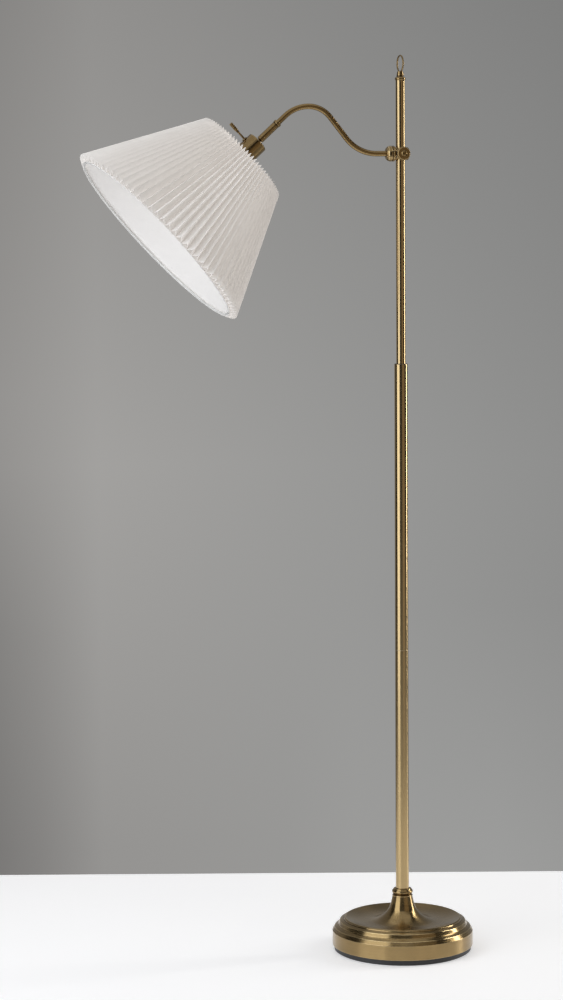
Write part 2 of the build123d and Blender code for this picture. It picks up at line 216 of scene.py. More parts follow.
def new_tree(
    name: str, tree_type: str, inputs: dict[str, tuple[Kind, object]], outputs: dict[str, Kind]
) -> tuple[Nodes, dict[str, bpy.types.NodeSocket], bpy.types.Node]:
    """Makes a node tree with named sockets.

    Args:
        name: The tree's name.
        tree_type: ShaderNodeTree or GeometryNodeTree.
        inputs: Each input's kind and value, by name.
        outputs: Each output's kind, by name.

    Returns:
        The tree's nodes, its input sockets by name, and its output node.
    """
    tree = bpy.data.node_groups.new(name, tree_type)
    for label, (kind, value) in inputs.items():
        socket = tree.interface.new_socket(label, in_out="INPUT", socket_type=kind.value)
        if value is not None:
            socket.default_value = value
    for label, kind in outputs.items():
        tree.interface.new_socket(label, in_out="OUTPUT", socket_type=kind.value)
    nodes = Nodes(tree)
    entry = nodes.add("NodeGroupInput")
    return nodes, {s.name: s for s in entry.outputs if s.name}, nodes.add("NodeGroupOutput")


# --- Effects that several finishes share --------------------------------------------------------


class Effect(Enum):
    """The shader groups."""

    TURNING = "turning_marks"
    PATINA = "patina"
    WEAVE = "weave"
    SPECKLE = "speckle"

    def tree(self) -> bpy.types.NodeTree:
        """The effect's group, made the first time it is asked for.

        Returns:
            The group.
        """
        if self.value not in bpy.data.node_groups:
            {
                Effect.TURNING: make_turning_marks,
                Effect.PATINA: make_patina,
                Effect.WEAVE: make_weave,
                Effect.SPECKLE: make_speckle,
            }[self](self.value)
        return bpy.data.node_groups[self.value]

    def place(self, nodes: Nodes, feeds: dict) -> bpy.types.Node:
        """Puts the effect into a material with its values.

        Args:
            nodes: The material's nodes.
            feeds: The group's inputs, by name.

        Returns:
            The group's node.
        """
        node = nodes.add("ShaderNodeGroup", node_tree=self.tree())
        for key, value in feeds.items():
            nodes.feed(node.inputs[key], value)
        return node


def make_turning_marks(name: str) -> None:
    """Fine rings round a turned piece, or fine lines along a drawn tube.

    Along is the distance across the lines in metres. The object's own coordinates break the lines up.

    Args:
        name: The group's name.
    """
    inputs = {
        "Vector": (Kind.VECTOR, None),
        "Along": (Kind.VALUE, 0.0),
        "Lines per mm": (Kind.VALUE, 2.0),
        "Break up": (Kind.VALUE, 6.0),
    }
    nodes, given, end = new_tree(name, "ShaderNodeTree", inputs, {"Fine": Kind.VALUE, "Coarse": Kind.VALUE})
    across = nodes.times(given["Along"], nodes.times(given["Lines per mm"], 1000.0))
    x, y, z = nodes.split(nodes.vector("MULTIPLY", given["Vector"], nodes.join(*[given["Break up"]] * 3)))
    side = nodes.plus(x, z)
    fine = nodes.noise(nodes.join(side, y, across), 1.0, 3.0, 0.7)
    coarse = nodes.noise(nodes.join(side, y, nodes.times(across, 0.13)), 1.0, 2.0, 0.6)
    nodes.feed(end.inputs["Fine"], nodes.spread(fine, 0.25, 0.75, 0.0, 1.0))
    nodes.feed(end.inputs["Coarse"], nodes.spread(coarse, 0.3, 0.7, 0.0, 1.0))


def make_patina(name: str) -> None:
    """Where the metal is darker, in clouds of patina and in inner corners, where the dark is patina and
    painted shade, and where edges are rubbed bright.

    Args:
        name: The group's name.
    """
    inputs = {
        "Vector": (Kind.VECTOR, None),
        "Wear and shade": (Kind.VALUE, 0.0),
        "Cloud scale": (Kind.VALUE, 18.0),
        "Clouds": (Kind.VALUE, 0.35),
    }
    nodes, given, end = new_tree(name, "ShaderNodeTree", inputs, {"Dark": Kind.VALUE, "Bright": Kind.VALUE})
    cloud = nodes.noise(given["Vector"], 1.0, 5.0, 0.6)
    nodes.feed(cloud.node.inputs["Scale"], given["Cloud scale"])
    small = nodes.noise(given["Vector"], 260.0, 3.0, 0.6)
    clouded = nodes.times(nodes.spread(cloud, 0.35, 0.75, 0.0, 1.0), given["Clouds"])
    # Inner corners are darkened: patina, and painted shade in the grooves.
    patina_and_shade = nodes.times(given["Wear and shade"], -0.85, clamp=True)
    rubbed = nodes.times(given["Wear and shade"], nodes.spread(small, 0.3, 0.6, 0.45, 1.0), clamp=True)
    nodes.feed(end.inputs["Dark"], nodes.plus(clouded, patina_and_shade, clamp=True))
    nodes.feed(end.inputs["Bright"], rubbed)


def make_weave(name: str) -> None:
    """A plain weave of fine threads on a flat pattern's own coordinates, in metres.

    Args:
        name: The group's name.
    """
    inputs = {
        "Flat": (Kind.VECTOR, None),
        "Threads per mm": (Kind.VALUE, 2.2),
        "Slub": (Kind.VALUE, 0.3),
    }
    nodes, given, end = new_tree(name, "ShaderNodeTree", inputs, {"Height": Kind.VALUE, "Tint": Kind.VALUE})
    scale = nodes.times(given["Threads per mm"], 1000.0 * math.pi)
    u, v, _ = nodes.split(given["Flat"])
    warp_place, weft_place = nodes.times(u, scale), nodes.times(v, scale)
    warp, weft = nodes.math("SINE", warp_place), nodes.math("SINE", weft_place)
    over = nodes.times(warp, weft)
    height = nodes.plus(nodes.times(over, 0.35), 0.5)
    stretch = nodes.join(nodes.times(u, 2400.0), nodes.times(v, 90.0), 0.0)
    crossed = nodes.join(nodes.times(u, 90.0), nodes.times(v, 2400.0), 3.7)
    slub = nodes.plus(nodes.noise(stretch, 1.0, 2.0), nodes.noise(crossed, 1.0, 2.0))
    uneven = nodes.times(nodes.minus(slub, 1.0), given["Slub"])
    nodes.feed(end.inputs["Height"], nodes.plus(height, uneven, clamp=True))
    nodes.feed(end.inputs["Tint"], nodes.spread(slub, 0.7, 1.3, 0.0, 1.0))


def make_speckle(name: str) -> None:
    """Soft clouds and a fine grain, for moulded and cast pieces.

    Args:
        name: The group's name.
    """
    inputs = {"Vector": (Kind.VECTOR, None), "Cloud": (Kind.VALUE, 30.0), "Grain": (Kind.VALUE, 900.0)}
    nodes, given, end = new_tree(name, "ShaderNodeTree", inputs, {"Cloud": Kind.VALUE, "Grain": Kind.VALUE})
    for label in ("Cloud", "Grain"):
        value = nodes.noise(given["Vector"], 1.0, 4.0, 0.6)
        nodes.feed(value.node.inputs["Scale"], given[label])
        nodes.feed(end.inputs[label], nodes.spread(value, 0.3, 0.7, 0.0, 1.0))


# --- Finishes -----------------------------------------------------------------------------------


def new_material(name: str) -> tuple[Nodes, bpy.types.Node, bpy.types.NodeSocket]:
    """Starts a material.

    Args:
        name: Its name.

    Returns:
        Its nodes, its Principled shader, and the object's coordinates.
    """
    made = bpy.data.materials.new(name)
    made.use_nodes = True
    nodes = Nodes(made.node_tree)
    shader = next(n for n in made.node_tree.nodes if n.type == "BSDF_PRINCIPLED")
    place = nodes.add("ShaderNodeTexCoord").outputs["Object"]
    return nodes, shader, place


def plain(shader: bpy.types.Node, **values: float) -> None:
    """Sets values that are the same all over, on the shader's own sockets."""
    for label, value in values.items():
        shader.inputs[label.replace("_", " ")].default_value = value


class Drawn(Enum):
    """Which way a brass piece's fine lines run."""

    ROUND = "round"      # turned on a lathe, so the lines run round it
    LONG = "long"        # drawn through a die and bent, so the streaks run along it
    NONE = "none"        # a piece with no lines of its own


@dataclass(frozen=True)
class BrassFinish:
    """Brass, darkened in places and lacquered, or left bare. The dark in inner corners is patina and painted
    shade.
    """

    name: str
    metal: Color
    dark_tone: Color
    rubbed: Color
    roughness: float = 0.2
    lines: float = 0.12
    depth: float = 0.00001
    drawn: Drawn = Drawn.ROUND
    clouds: float = 0.3
    anisotropy: float = 0.85
    lacquer: float = 0.2
    bands: float = 0.05

    def material(self) -> bpy.types.Material:
        """The finish's material, made the first time it is asked for.

        Returns:
            The material.
        """
        if self.name in bpy.data.materials:
            return bpy.data.materials[self.name]
        nodes, shader, place = new_material(self.name)
        if self.drawn is Drawn.NONE:
            along, wear_and_shade = nodes.split(place)[2], 0.0
        else:
            flat = nodes.add("ShaderNodeUVMap", uv_map=TURN_UV).outputs[0]
            parts = nodes.split(flat)
            along = parts[1] if self.drawn is Drawn.ROUND else nodes.times(parts[0], 0.03)
            wear_and_shade = nodes.add("ShaderNodeAttribute", attribute_name=WEAR_AND_SHADE).outputs["Fac"]
            tangent = nodes.add("ShaderNodeTangent", direction_type="UV_MAP", uv_map=TURN_UV)
            nodes.feed(shader.inputs["Tangent"], tangent.outputs[0])
            plain(shader, Anisotropic=self.anisotropy, Anisotropic_Rotation=0.25)
        marks = Effect.TURNING.place(nodes, {"Vector": place, "Along": along})
        patina = Effect.PATINA.place(nodes, {"Vector": place, "Wear and shade": wear_and_shade, "Clouds": self.clouds})
        # The dark colour fills clouds of patina, and inner corners as patina and painted shade.
        dark_tone = nodes.mix(patina.outputs["Dark"], self.metal, self.dark_tone)
        lined = nodes.times(marks.outputs["Coarse"], self.bands)
        dark_tone = nodes.mix(lined, dark_tone, self.dark_tone)
        nodes.feed(shader.inputs["Base Color"], nodes.mix(patina.outputs["Bright"], dark_tone, self.rubbed))
        streak = nodes.times(marks.outputs["Fine"], self.lines)
        matt = nodes.times(patina.outputs["Dark"], 0.04)
        rough = nodes.plus(nodes.plus(streak, matt), self.roughness)
        nodes.feed(shader.inputs["Roughness"], rough)
        if self.depth:
            feeds = {"Height": marks.outputs["Fine"], "Distance": self.depth, "Strength": 0.5}
            nodes.feed(shader.inputs["Normal"], nodes.add("ShaderNodeBump", feeds).outputs[0])
        plain(shader, Metallic=1.0, Coat_Weight=self.lacquer, Coat_Roughness=0.08)
        return bpy.data.materials[self.name]


@dataclass(frozen=True)
class MouldedFinish:
    """Moulded, cast, painted or plated pieces: one colour with clouds and a fine grain."""

    name: str
    color: Color
    second: Color
    roughness: float
    metallic: float = 0.0
    cloud: float = 30.0
    grain: float = 900.0
    depth: float = 0.00004
    rough_change: float = 0.12

    def material(self) -> bpy.types.Material:
        """The finish's material, made the first time it is asked for.

        Returns:
            The material.
        """
        if self.name in bpy.data.materials:
            return bpy.data.materials[self.name]
        nodes, shader, place = new_material(self.name)
        speckle = Effect.SPECKLE.place(nodes, {"Vector": place, "Cloud": self.cloud, "Grain": self.grain})
        mixed = nodes.mix(speckle.outputs["Cloud"], self.color, self.second)
        nodes.feed(shader.inputs["Base Color"], mixed)
        change = nodes.times(speckle.outputs["Cloud"], self.rough_change)
        nodes.feed(shader.inputs["Roughness"], nodes.plus(change, self.roughness))
        feeds = {"Height": speckle.outputs["Grain"], "Distance": self.depth, "Strength": 0.6}
        nodes.feed(shader.inputs["Normal"], nodes.add("ShaderNodeBump", feeds).outputs[0])
        plain(shader, Metallic=self.metallic)
        return bpy.data.materials[self.name]


@dataclass(frozen=True)
class ClothFinish:
    """A fine woven cloth on a stiff backing. It glows a little with painted light in its own colour, standing
    in for light that passes into the cloth from the far side.
    """

    name: str
    color: Color
    shade: Color
    threads: float = 2.2
    depth: float = 0.00006
    roughness: float = 0.75
    sheen: float = 0.15
    # the strength of the cloth's painted glow
    painted_glow: float = 0.1

    def material(self) -> bpy.types.Material:
        """The finish's material, made the first time it is asked for.

        Returns:
            The material.
        """
        if self.name in bpy.data.materials:
            return bpy.data.materials[self.name]
        nodes, shader, place = new_material(self.name)
        flat = nodes.add("ShaderNodeUVMap", uv_map=CLOTH_UV).outputs[0]
        weave = Effect.WEAVE.place(nodes, {"Flat": flat, "Threads per mm": self.threads})
        cloud = Effect.SPECKLE.place(nodes, {"Vector": place, "Cloud": 14.0}).outputs["Cloud"]
        share = nodes.plus(nodes.times(weave.outputs["Tint"], 0.5), nodes.times(cloud, 0.4))
        dye_and_glow = nodes.mix(share, self.color, self.shade)
        nodes.feed(shader.inputs["Base Color"], dye_and_glow)
        # The dye colour also feeds a painted glow: the cloth shines as if lit from the far side, though it is
        # no lamp.
        nodes.feed(shader.inputs["Emission Color"], dye_and_glow)
        plain(shader, Emission_Strength=self.painted_glow)
        rough = nodes.plus(nodes.times(weave.outputs["Height"], 0.15), self.roughness)
        nodes.feed(shader.inputs["Roughness"], rough)
        feeds = {"Height": weave.outputs["Height"], "Distance": self.depth, "Strength": 0.6}
        nodes.feed(shader.inputs["Normal"], nodes.add("ShaderNodeBump", feeds).outputs[0])
        plain(shader, Sheen_Weight=self.sheen, Sheen_Roughness=0.4)
        return bpy.data.materials[self.name]


ANTIQUE = {"metal": (0.37, 0.26, 0.115), "dark_tone": (0.12, 0.074, 0.030), "rubbed": (0.74, 0.58, 0.32)}
PALER = {"metal": (0.49, 0.36, 0.18), "dark_tone": (0.12, 0.074, 0.030), "rubbed": (0.74, 0.58, 0.32)}
DARKER = {"metal": (0.31, 0.21, 0.088), "dark_tone": (0.07, 0.042, 0.018), "rubbed": (0.62, 0.48, 0.26)}
SPUN_BRASS = BrassFinish(
    "antique_brass_spun", **ANTIQUE, roughness=0.21, lines=0.06, depth=0.000002, anisotropy=0.9, clouds=0.3,
    bands=0.16,
)
TUBE_BRASS = BrassFinish(
    "antique_brass_tube", **PALER, roughness=0.17, lines=0.02, depth=0.0, anisotropy=0.85, clouds=0.05
)
TURNED_BRASS = BrassFinish(
    "antique_brass_turned", **DARKER, roughness=0.16, lines=0.03, depth=0.0, anisotropy=0.9
)
BENT_BRASS = BrassFinish(
    "antique_brass_bent", **DARKER, roughness=0.14, drawn=Drawn.LONG, lines=0.02, depth=0.0, anisotropy=0.9,
    clouds=0.15,
)
CAST_BRASS = BrassFinish("antique_brass_cast", **DARKER, roughness=0.20, drawn=Drawn.NONE, depth=0.0)
BARE_BRASS = BrassFinish(
    "stamped_brass", (0.72, 0.52, 0.24), (0.40, 0.28, 0.12), (0.80, 0.62, 0.34), drawn=Drawn.NONE,
    lacquer=0.0, depth=0.000004,
)
STEEL = MouldedFinish("zinc_steel", (0.56, 0.57, 0.58), (0.44, 0.45, 0.47), 0.34, metallic=1.0)
IRON = MouldedFinish("rough_iron", (0.07, 0.068, 0.066), (0.12, 0.10, 0.09), 0.62, depth=0.0003, grain=500.0)
WIRE = MouldedFinish("white_powder_coat", (0.82, 0.82, 0.80), (0.74, 0.74, 0.72), 0.32)
RUBBER = MouldedFinish("matt_rubber", (0.018, 0.018, 0.018), (0.035, 0.033, 0.032), 0.75, grain=1600.0)
PLASTIC = MouldedFinish("moulded_black", (0.015, 0.015, 0.016), (0.026, 0.026, 0.027), 0.42, grain=1400.0)
NYLON = MouldedFinish("natural_nylon", (0.74, 0.71, 0.64), (0.66, 0.62, 0.54), 0.45)
PHENOLIC = MouldedFinish("dark_phenolic", (0.030, 0.020, 0.016), (0.055, 0.034, 0.024), 0.30)
LEAD = MouldedFinish("gold_lead", (0.42, 0.33, 0.16), (0.34, 0.26, 0.12), 0.48)
# Both cloths glow with painted light, the pleated cover more than the liner.
LINER = ClothFinish("liner_cloth", (0.87, 0.85, 0.83), (0.83, 0.81, 0.79), depth=0.00002, sheen=0.05)
PLEATED = ClothFinish("pleated_cloth", (0.85, 0.825, 0.80), (0.80, 0.77, 0.74), painted_glow=0.17)

SLOT_FINISHES = {
    "antique_brass": CAST_BRASS, "plain_brass": BARE_BRASS, "steel": STEEL, "cast_iron": IRON,
    "white_wire": WIRE, "black_rubber": RUBBER, "black_plastic": PLASTIC, "nylon": NYLON,
    "phenolic": PHENOLIC, "lead_insulation": LEAD, "shade_liner": LINER, "shade_fabric": PLEATED,
}


# --- Meshes -------------------------------------------------------------------------------------


def rounded(corners: Outline, closed: bool) -> list[tuple[float, float, float]]:
    """Rounds an outline's corners.

    Args:
        corners: (radius, height) or (radius, height, rounding), counterclockwise with the radius
            to the right.
        closed: Whether the last corner joins the first.

    Returns:
        (radius, height, wear_and_shade) points: 1 on a rubbed outer edge, and -1 in an inner corner, which is
        darkened as patina and painted shade.
    """
    places = [Vector(c[:2]) for c in corners]
    made: list[tuple[float, float, float]] = []
    for i, here in enumerate(places):
        rounding = corners[i][2] if len(corners[i]) > 2 else EDGE
        if not rounding or not closed and i in (0, len(places) - 1):
            made.append((here.x, here.y, 0.0))
            continue
        back, ahead = places[i - 1] - here, places[(i + 1) % len(places)] - here
        turn = math.pi - back.angle(ahead)
        if turn < 0.01:
            made.append((here.x, here.y, 0.0))
            continue
        most = min(back.length, ahead.length) * (0.49 if rounding <= EDGE else 0.98)
        reach = min(rounding * math.tan(turn / 2), most)
        radius = reach / math.tan(turn / 2)
        way = 1.0 if (-back).cross(ahead) > 0 else -1.0
        centre = here + (back.normalized() + ahead.normalized()).normalized() * radius / math.cos(turn / 2)
        start = here + back.normalized() * reach - centre
        steps = max(2, math.ceil(turn / ARC_STEP), math.ceil(radius * turn / ARC_LENGTH))
        hold = HOLD if way > 0 else HOLLOW
        if back.length > 2.5 * (reach + hold):
            made.append((*(here + back.normalized() * (reach + hold)), 0.0))
        # Points beside a fine inner corner stay fully dark, so the patina and painted shade in the groove
        # reach wider.
        if way < 0 and radius < 1 and back.length > 2 * (reach + DARK_HELD):
            made.append((*(here + back.normalized() * (reach + DARK_HELD)), -1.0))
        for k in range(steps + 1):
            point = centre + Matrix.Rotation(way * turn * k / steps, 2) @ start
            wear_and_shade = way * math.sin(math.pi * (k + 0.5) / (steps + 1)) if way > 0 else -1.0
            made.append((point.x, point.y, wear_and_shade if radius < 6 else 0.0))
        if way < 0 and radius < 1 and ahead.length > 2 * (reach + DARK_HELD):
            made.append((*(here + ahead.normalized() * (reach + DARK_HELD)), -1.0))
        if ahead.length > 2.5 * (reach + hold):
            made.append((*(here + ahead.normalized() * (reach + hold)), 0.0))
    return made


def arc(
    middle_r: float, middle_z: float, radius: float, start: float, end: float, steps: int = 12
) -> Outline:
    """Outline points along an arc, with no rounding; the angles are in degrees from the radius outwards."""
    turns = [math.radians(start + (end - start) * k / steps) for k in range(steps + 1)]
    return [(middle_r + radius * math.cos(t), middle_z + radius * math.sin(t), 0.0) for t in turns]


def mesh_object(
    name: str, points: list[Vector], faces: list[tuple[int, ...]], flat: list[tuple[float, float]],
    uv_name: str,
) -> bpy.types.Object:
    """Makes a smooth mesh object in the lamp's frame.

    Args:
        name: The object's name.
        points: Its points in millimetres.
        faces: Its faces.
        flat: Its pattern's place at each corner of each face.
        uv_name: The pattern's name.

    Returns:
        The object, linked to the scene.
    """
    mesh = bpy.data.meshes.new(name)
    mesh.from_pydata([p * MM for p in points], [], faces)
    layer = mesh.uv_layers.new(name=uv_name)
    layer.data.foreach_set("uv", [x for pair in flat for x in pair])
    mesh.shade_smooth()
    mesh.set_sharp_from_angle(angle=SHARP_ANGLE)
    made = bpy.data.objects.new(name, mesh)
    bpy.context.scene.collection.objects.link(made)
    return made


def set_wear_and_shade(made: bpy.types.Object, wear_and_shade: list[float]) -> None:
    """Stores how rubbed each point of a mesh is, or how dark it is in an inner corner, where the dark is
    patina and painted shade.
    """
    made.data.attributes.new(WEAR_AND_SHADE, "FLOAT", "POINT").data.foreach_set("value", wear_and_shade)


def lofted(
    name: str, rings: list[list[Vector]], wear_and_shade: list[float], closed: bool, along: list[float]
) -> bpy.types.Object:
    """Joins rings of points into a skin.

    Args:
        name: The object's name.
        rings: The rings, each of the same count of points or of one, at a pole.
        wear_and_shade: How rubbed each ring is, or how dark in an inner corner, as patina and painted shade.
        closed: Whether the last ring joins the first.
        along: Each ring's distance along the piece in millimetres.

    Returns:
        The object.
    """
    count = max(len(ring) for ring in rings)
    starts = [sum(len(ring) for ring in rings[:i]) for i in range(len(rings))]
    faces, flat = [], []
    for i in range(len(rings) if closed else len(rings) - 1):
        k = (i + 1) % len(rings)
        low, high = along[i] * MM, (along[k] if k else along[i] + (rings[0][0] - rings[i][0]).length) * MM
        for j in range(count):
            here, there = j / count, (j + 1) / count
            lower = (i, j, here, low), (i, j + 1, there, low)
            upper = (k, j + 1, there, high), (k, j, here, high)
            kept: dict[int, tuple[float, float]] = {}
            for ring, step, u, v in lower + upper:
                point = starts[ring] + (0 if len(rings[ring]) == 1 else step % count)
                kept.setdefault(point, (u, v))
            if len(kept) > 2:
                faces.append(tuple(kept))
                flat += kept.values()
    made = mesh_object(name, [p for ring in rings for p in ring], faces, flat, TURN_UV)
    set_wear_and_shade(made, [w for ring, w in zip(rings, wear_and_shade) for _ in ring])
    return made


def turned(name: str, corners: Outline, place: Matrix = UPRIGHT, around: int = 96) -> bpy.types.Object:
    """A turned piece.

    Args:
        name: The object's name.
        corners: Its outline, counterclockwise. It closes on itself, or on the axis where it starts there.
        place: The frame of its axis.
        around: How many faces it has round the axis.

    Returns:
        The object.
    """
    closed = corners[0][0] > 0 or corners[-1][0] > 0
    outline = rounded(corners, closed)
    rings, along = [], [0.0]
    for i, (r, z, _) in enumerate(outline):
        if i:
            along.append(along[-1] + math.dist((r, z), outline[i - 1][:2]))
        if r < 1e-6:
            rings.append([place @ Vector((0, 0, z))])
            continue
        turns = [2 * math.pi * j / around for j in range(around)]
        rings.append([place @ Vector((r * math.cos(t), r * math.sin(t), z)) for t in turns])
    return lofted(name, rings, [w for _, _, w in outline], closed, along)


def swept(name: str, line: list[tuple[Vector, Vector]], radius: float, around: int = 40) -> bpy.types.Object:
    """A round bar along a line in a plane square to Y.

    Args:
        name: The object's name.
        line: The line's points, each with its direction.
        radius: The bar's radius.
        around: How many faces it has round the line.

    Returns:
        The object.
    """
    rings, along = [[line[0][0]]], [0.0]
    for i, (point, ahead) in enumerate(line):
        side = Vector((0, 1, 0)).cross(ahead).normalized()
        turns = [2 * math.pi * j / around for j in range(around)]
        rings.append([point + radius * (math.cos(t) * side + math.sin(t) * ahead.cross(side)) for t in turns])
        along.append(along[-1] + (radius if not i else (point - line[i - 1][0]).length))
    rings.append([line[-1][0]])
    along.append(along[-1] + radius)
    return lofted(name, rings, [0.0] * len(rings), False, along)


def evaluated(source: bpy.types.Object, name: str) -> bpy.types.Object:
    """Turns an object with its modifiers into a plain mesh object, and removes the first one.

    Args:
        source: The object.
        name: The new object's name.

    Returns:
        The plain object.
    """
    bpy.context.view_layer.update()
    graph = bpy.context.evaluated_depsgraph_get()
    mesh = bpy.data.meshes.new_from_object(
        source.evaluated_get(graph), preserve_all_data_layers=True, depsgraph=graph
    )
    bpy.data.objects.remove(source)
    mesh.name = name
    made = bpy.data.objects.new(name, mesh)
    bpy.context.scene.collection.objects.link(made)
    return made


def run_tree(
    source: bpy.types.Object, tree: bpy.types.NodeTree, values: dict[str, object], name: str
) -> bpy.types.Object:
    """Runs a geometry tree on an object.

    Args:
        source: The object it starts from.
        tree: The tree.
        values: Its inputs, by name.
        name: The result's name.

    Returns:
        The result as a plain mesh object.
    """
    modifier = source.modifiers.new(tree.name, "NODES")
    modifier.node_group = tree
    for item in tree.interface.items_tree:
        if item.in_out == "INPUT" and item.name in values:
            modifier[item.identifier] = values[item.name]
    return evaluated(source, name)


# --- The lamp -----------------------------------------------------------------------------------


class Assembly:
    """A sub-assembly of the lamp: it makes pieces, dresses them, and hides the nodes that they stand for."""

    body = ""

    def fit(
        self, made: bpy.types.Object, finish: BrassFinish | ClothFinish | MouldedFinish, slot: str,
        *nodes: str,
    ) -> bpy.types.Object:
        """Dresses a piece and fixes it to the lamp.

        Args:
            made: The piece.
            finish: Its finish.
            slot: The material slot that it would take its finish from; not used.
            *nodes: The nodes of the frame that it stands for.

        Returns:
            The piece.
        """
        made.data.materials.clear()
        made.data.materials.append(finish.material())
        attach(made, self.body)
        if nodes:
            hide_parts(*nodes)
        LOG.info("%s: %d faces on %s", made.name, len(made.data.polygons), self.body)
        return made

    def brass(
        self, made: bpy.types.Object, *nodes: str, finish: BrassFinish = TURNED_BRASS
    ) -> bpy.types.Object:
        """Fits a piece of antique brass."""
        return self.fit(made, finish, "antique_brass", *nodes)


@dataclass
class Base(Assembly):
    """The weighted base: its spun cover, the collar on its neck and its rubber pad."""

    body: str = "base"
    radius: float = 122.8
    cover_low: float = 10.3
    cover_wall: float = 1.4
    neck_top: float = 95.0
    neck_hole: float = 8.6
    shoulder: Outline = (
        (122.8, 35.2, 0.5), (118.6, 41.6, 3.0), (113.6, 44.7, 0.3), (112.7, 43.9, 0.3), (112.0, 46.6, 0.3),
        (109.6, 52.2, 2.0), (104.3, 54.9, 0.3), (103.4, 54.2, 0.3), (102.6, 56.5, 0.4), (99.6, 58.0, 1.2),
        (70.0, 50.0, 100.0), (33.0, 54.0, 45.0), (21.8, 76.0, 80.0),
    )
    neck: float = 17.3

    def build(self) -> None:
        """Makes the base's pieces."""
        wall = self.cover_wall
        outside = [(self.radius, self.cover_low, 0.6), *self.shoulder, (self.neck, self.neck_top, 0.3)]
        inside = [
            (self.neck - wall, self.neck_top - wall, 0.3),
            *((r - wall, z - wall, rounding) for r, z, rounding in reversed(self.shoulder) if rounding > 0.3),
            (self.radius - wall, self.cover_low, 0.3),
        ]
        hole = [(self.neck_hole, self.neck_top, 0.2), (self.neck_hole, self.neck_top - wall, 0.2)]
        self.brass(turned("spun_cover", outside + hole + inside, around=176), "base_cover", finish=SPUN_BRASS)
        collar = [
            (5.05, 95.0), (17.8, 95.0), (17.8, 96.6, 0.7), (15.6, 97.4, 0.3),
            *arc(13.6, 102.6, 4.6, -58, 58, 16), (15.6, 108.0, 0.5), (13.0, 109.0, 0.5), (11.55, 109.0, 0.2),
            (11.55, 100.0, 0.2), (5.05, 100.0, 0.2),
        ]
        self.brass(turned("collar_ring", collar), "neck_collar", finish=SPUN_BRASS)
        pad = [(0, 0.0), (116.0, 0.0, 0.5), (116.0, 2.0, 0.5), (0, 2.0)]
        self.fit(turned("rubber_pad", pad, around=128), RUBBER, "black_rubber", "floor_pad")


@dataclass
class LowerPole(Assembly):
    """The thick lower pole in two lengths."""

    body: str = "base"
    radius: float = 11.5
    bore: float = 10.5
    low: float = 100.0
    seam: float = 528.6
    top: float = 1024.2

    def build(self) -> None:
        """Makes the two tubes."""
        for name, node, low, high in (
            ("pole_length_low", "lower_pole_bottom", self.low, self.seam - 0.2),
            ("pole_length_high", "lower_pole_top", self.seam + 0.2, self.top),
        ):
            bore, radius = self.bore, self.radius
            outline = [(bore, low, 0.2), (radius, low, 0.35), (radius, high, 0.35), (bore, high, 0.2)]
            self.brass(turned(name, outline), node, finish=TUBE_BRASS)


@dataclass
class UpperPole(Assembly):
    """The thin upper pole, with its finial and carrying loop; the hub that carries the arm is made with the
    arm joint.
    """

    body: str = "upper_mast"
    radius: float = 8.0
    bore: float = 7.0
    low: float = 890.0
    top: float = 1506.5
    loop_radius: float = 13.7
    loop_wire: float = 1.35
    loop_turn: float = 5.0
    height: float = 1550.0

    def build(self) -> None:
        """Makes the pole and its finial."""
        bore, radius = self.bore, self.radius
        outline = [(bore, self.low), (radius, self.low), (radius, self.top), (bore, self.top)]
        self.brass(turned("thin_pole", outline, around=72), "upper_pole", finish=TUBE_BRASS)
        loop_z = self.height - self.loop_radius - self.loop_wire
        seat_z = self.top
        finial = [
            (0, seat_z - 12), (6.95, seat_z - 12), (6.95, seat_z), (8.3, seat_z, 0.2),
            *arc(6.7, seat_z + 2.8, 2.6, -52, 52, 12), (8.0, seat_z + 5.6, 0.2), (6.4, seat_z + 6.2, 0.4),
            (6.0, seat_z + 10.0, 1.5), (5.0, loop_z - self.loop_radius + 0.6, 0.8),
            (0, loop_z - self.loop_radius + 1.0),
        ]
        self.brass(turned("finial_seat", finial, around=64), "finial_collar")
        turn = math.radians(self.loop_turn)
        axis = (math.cos(turn), math.sin(turn), 0)
        place = seat((0, 0, loop_z), axis, (0, 0, 1))
        wire = arc(self.loop_radius, 0, self.loop_wire, 0, 350, 15)
        self.brass(turned("carrying_loop", wire, place, around=72), "finial_loop")


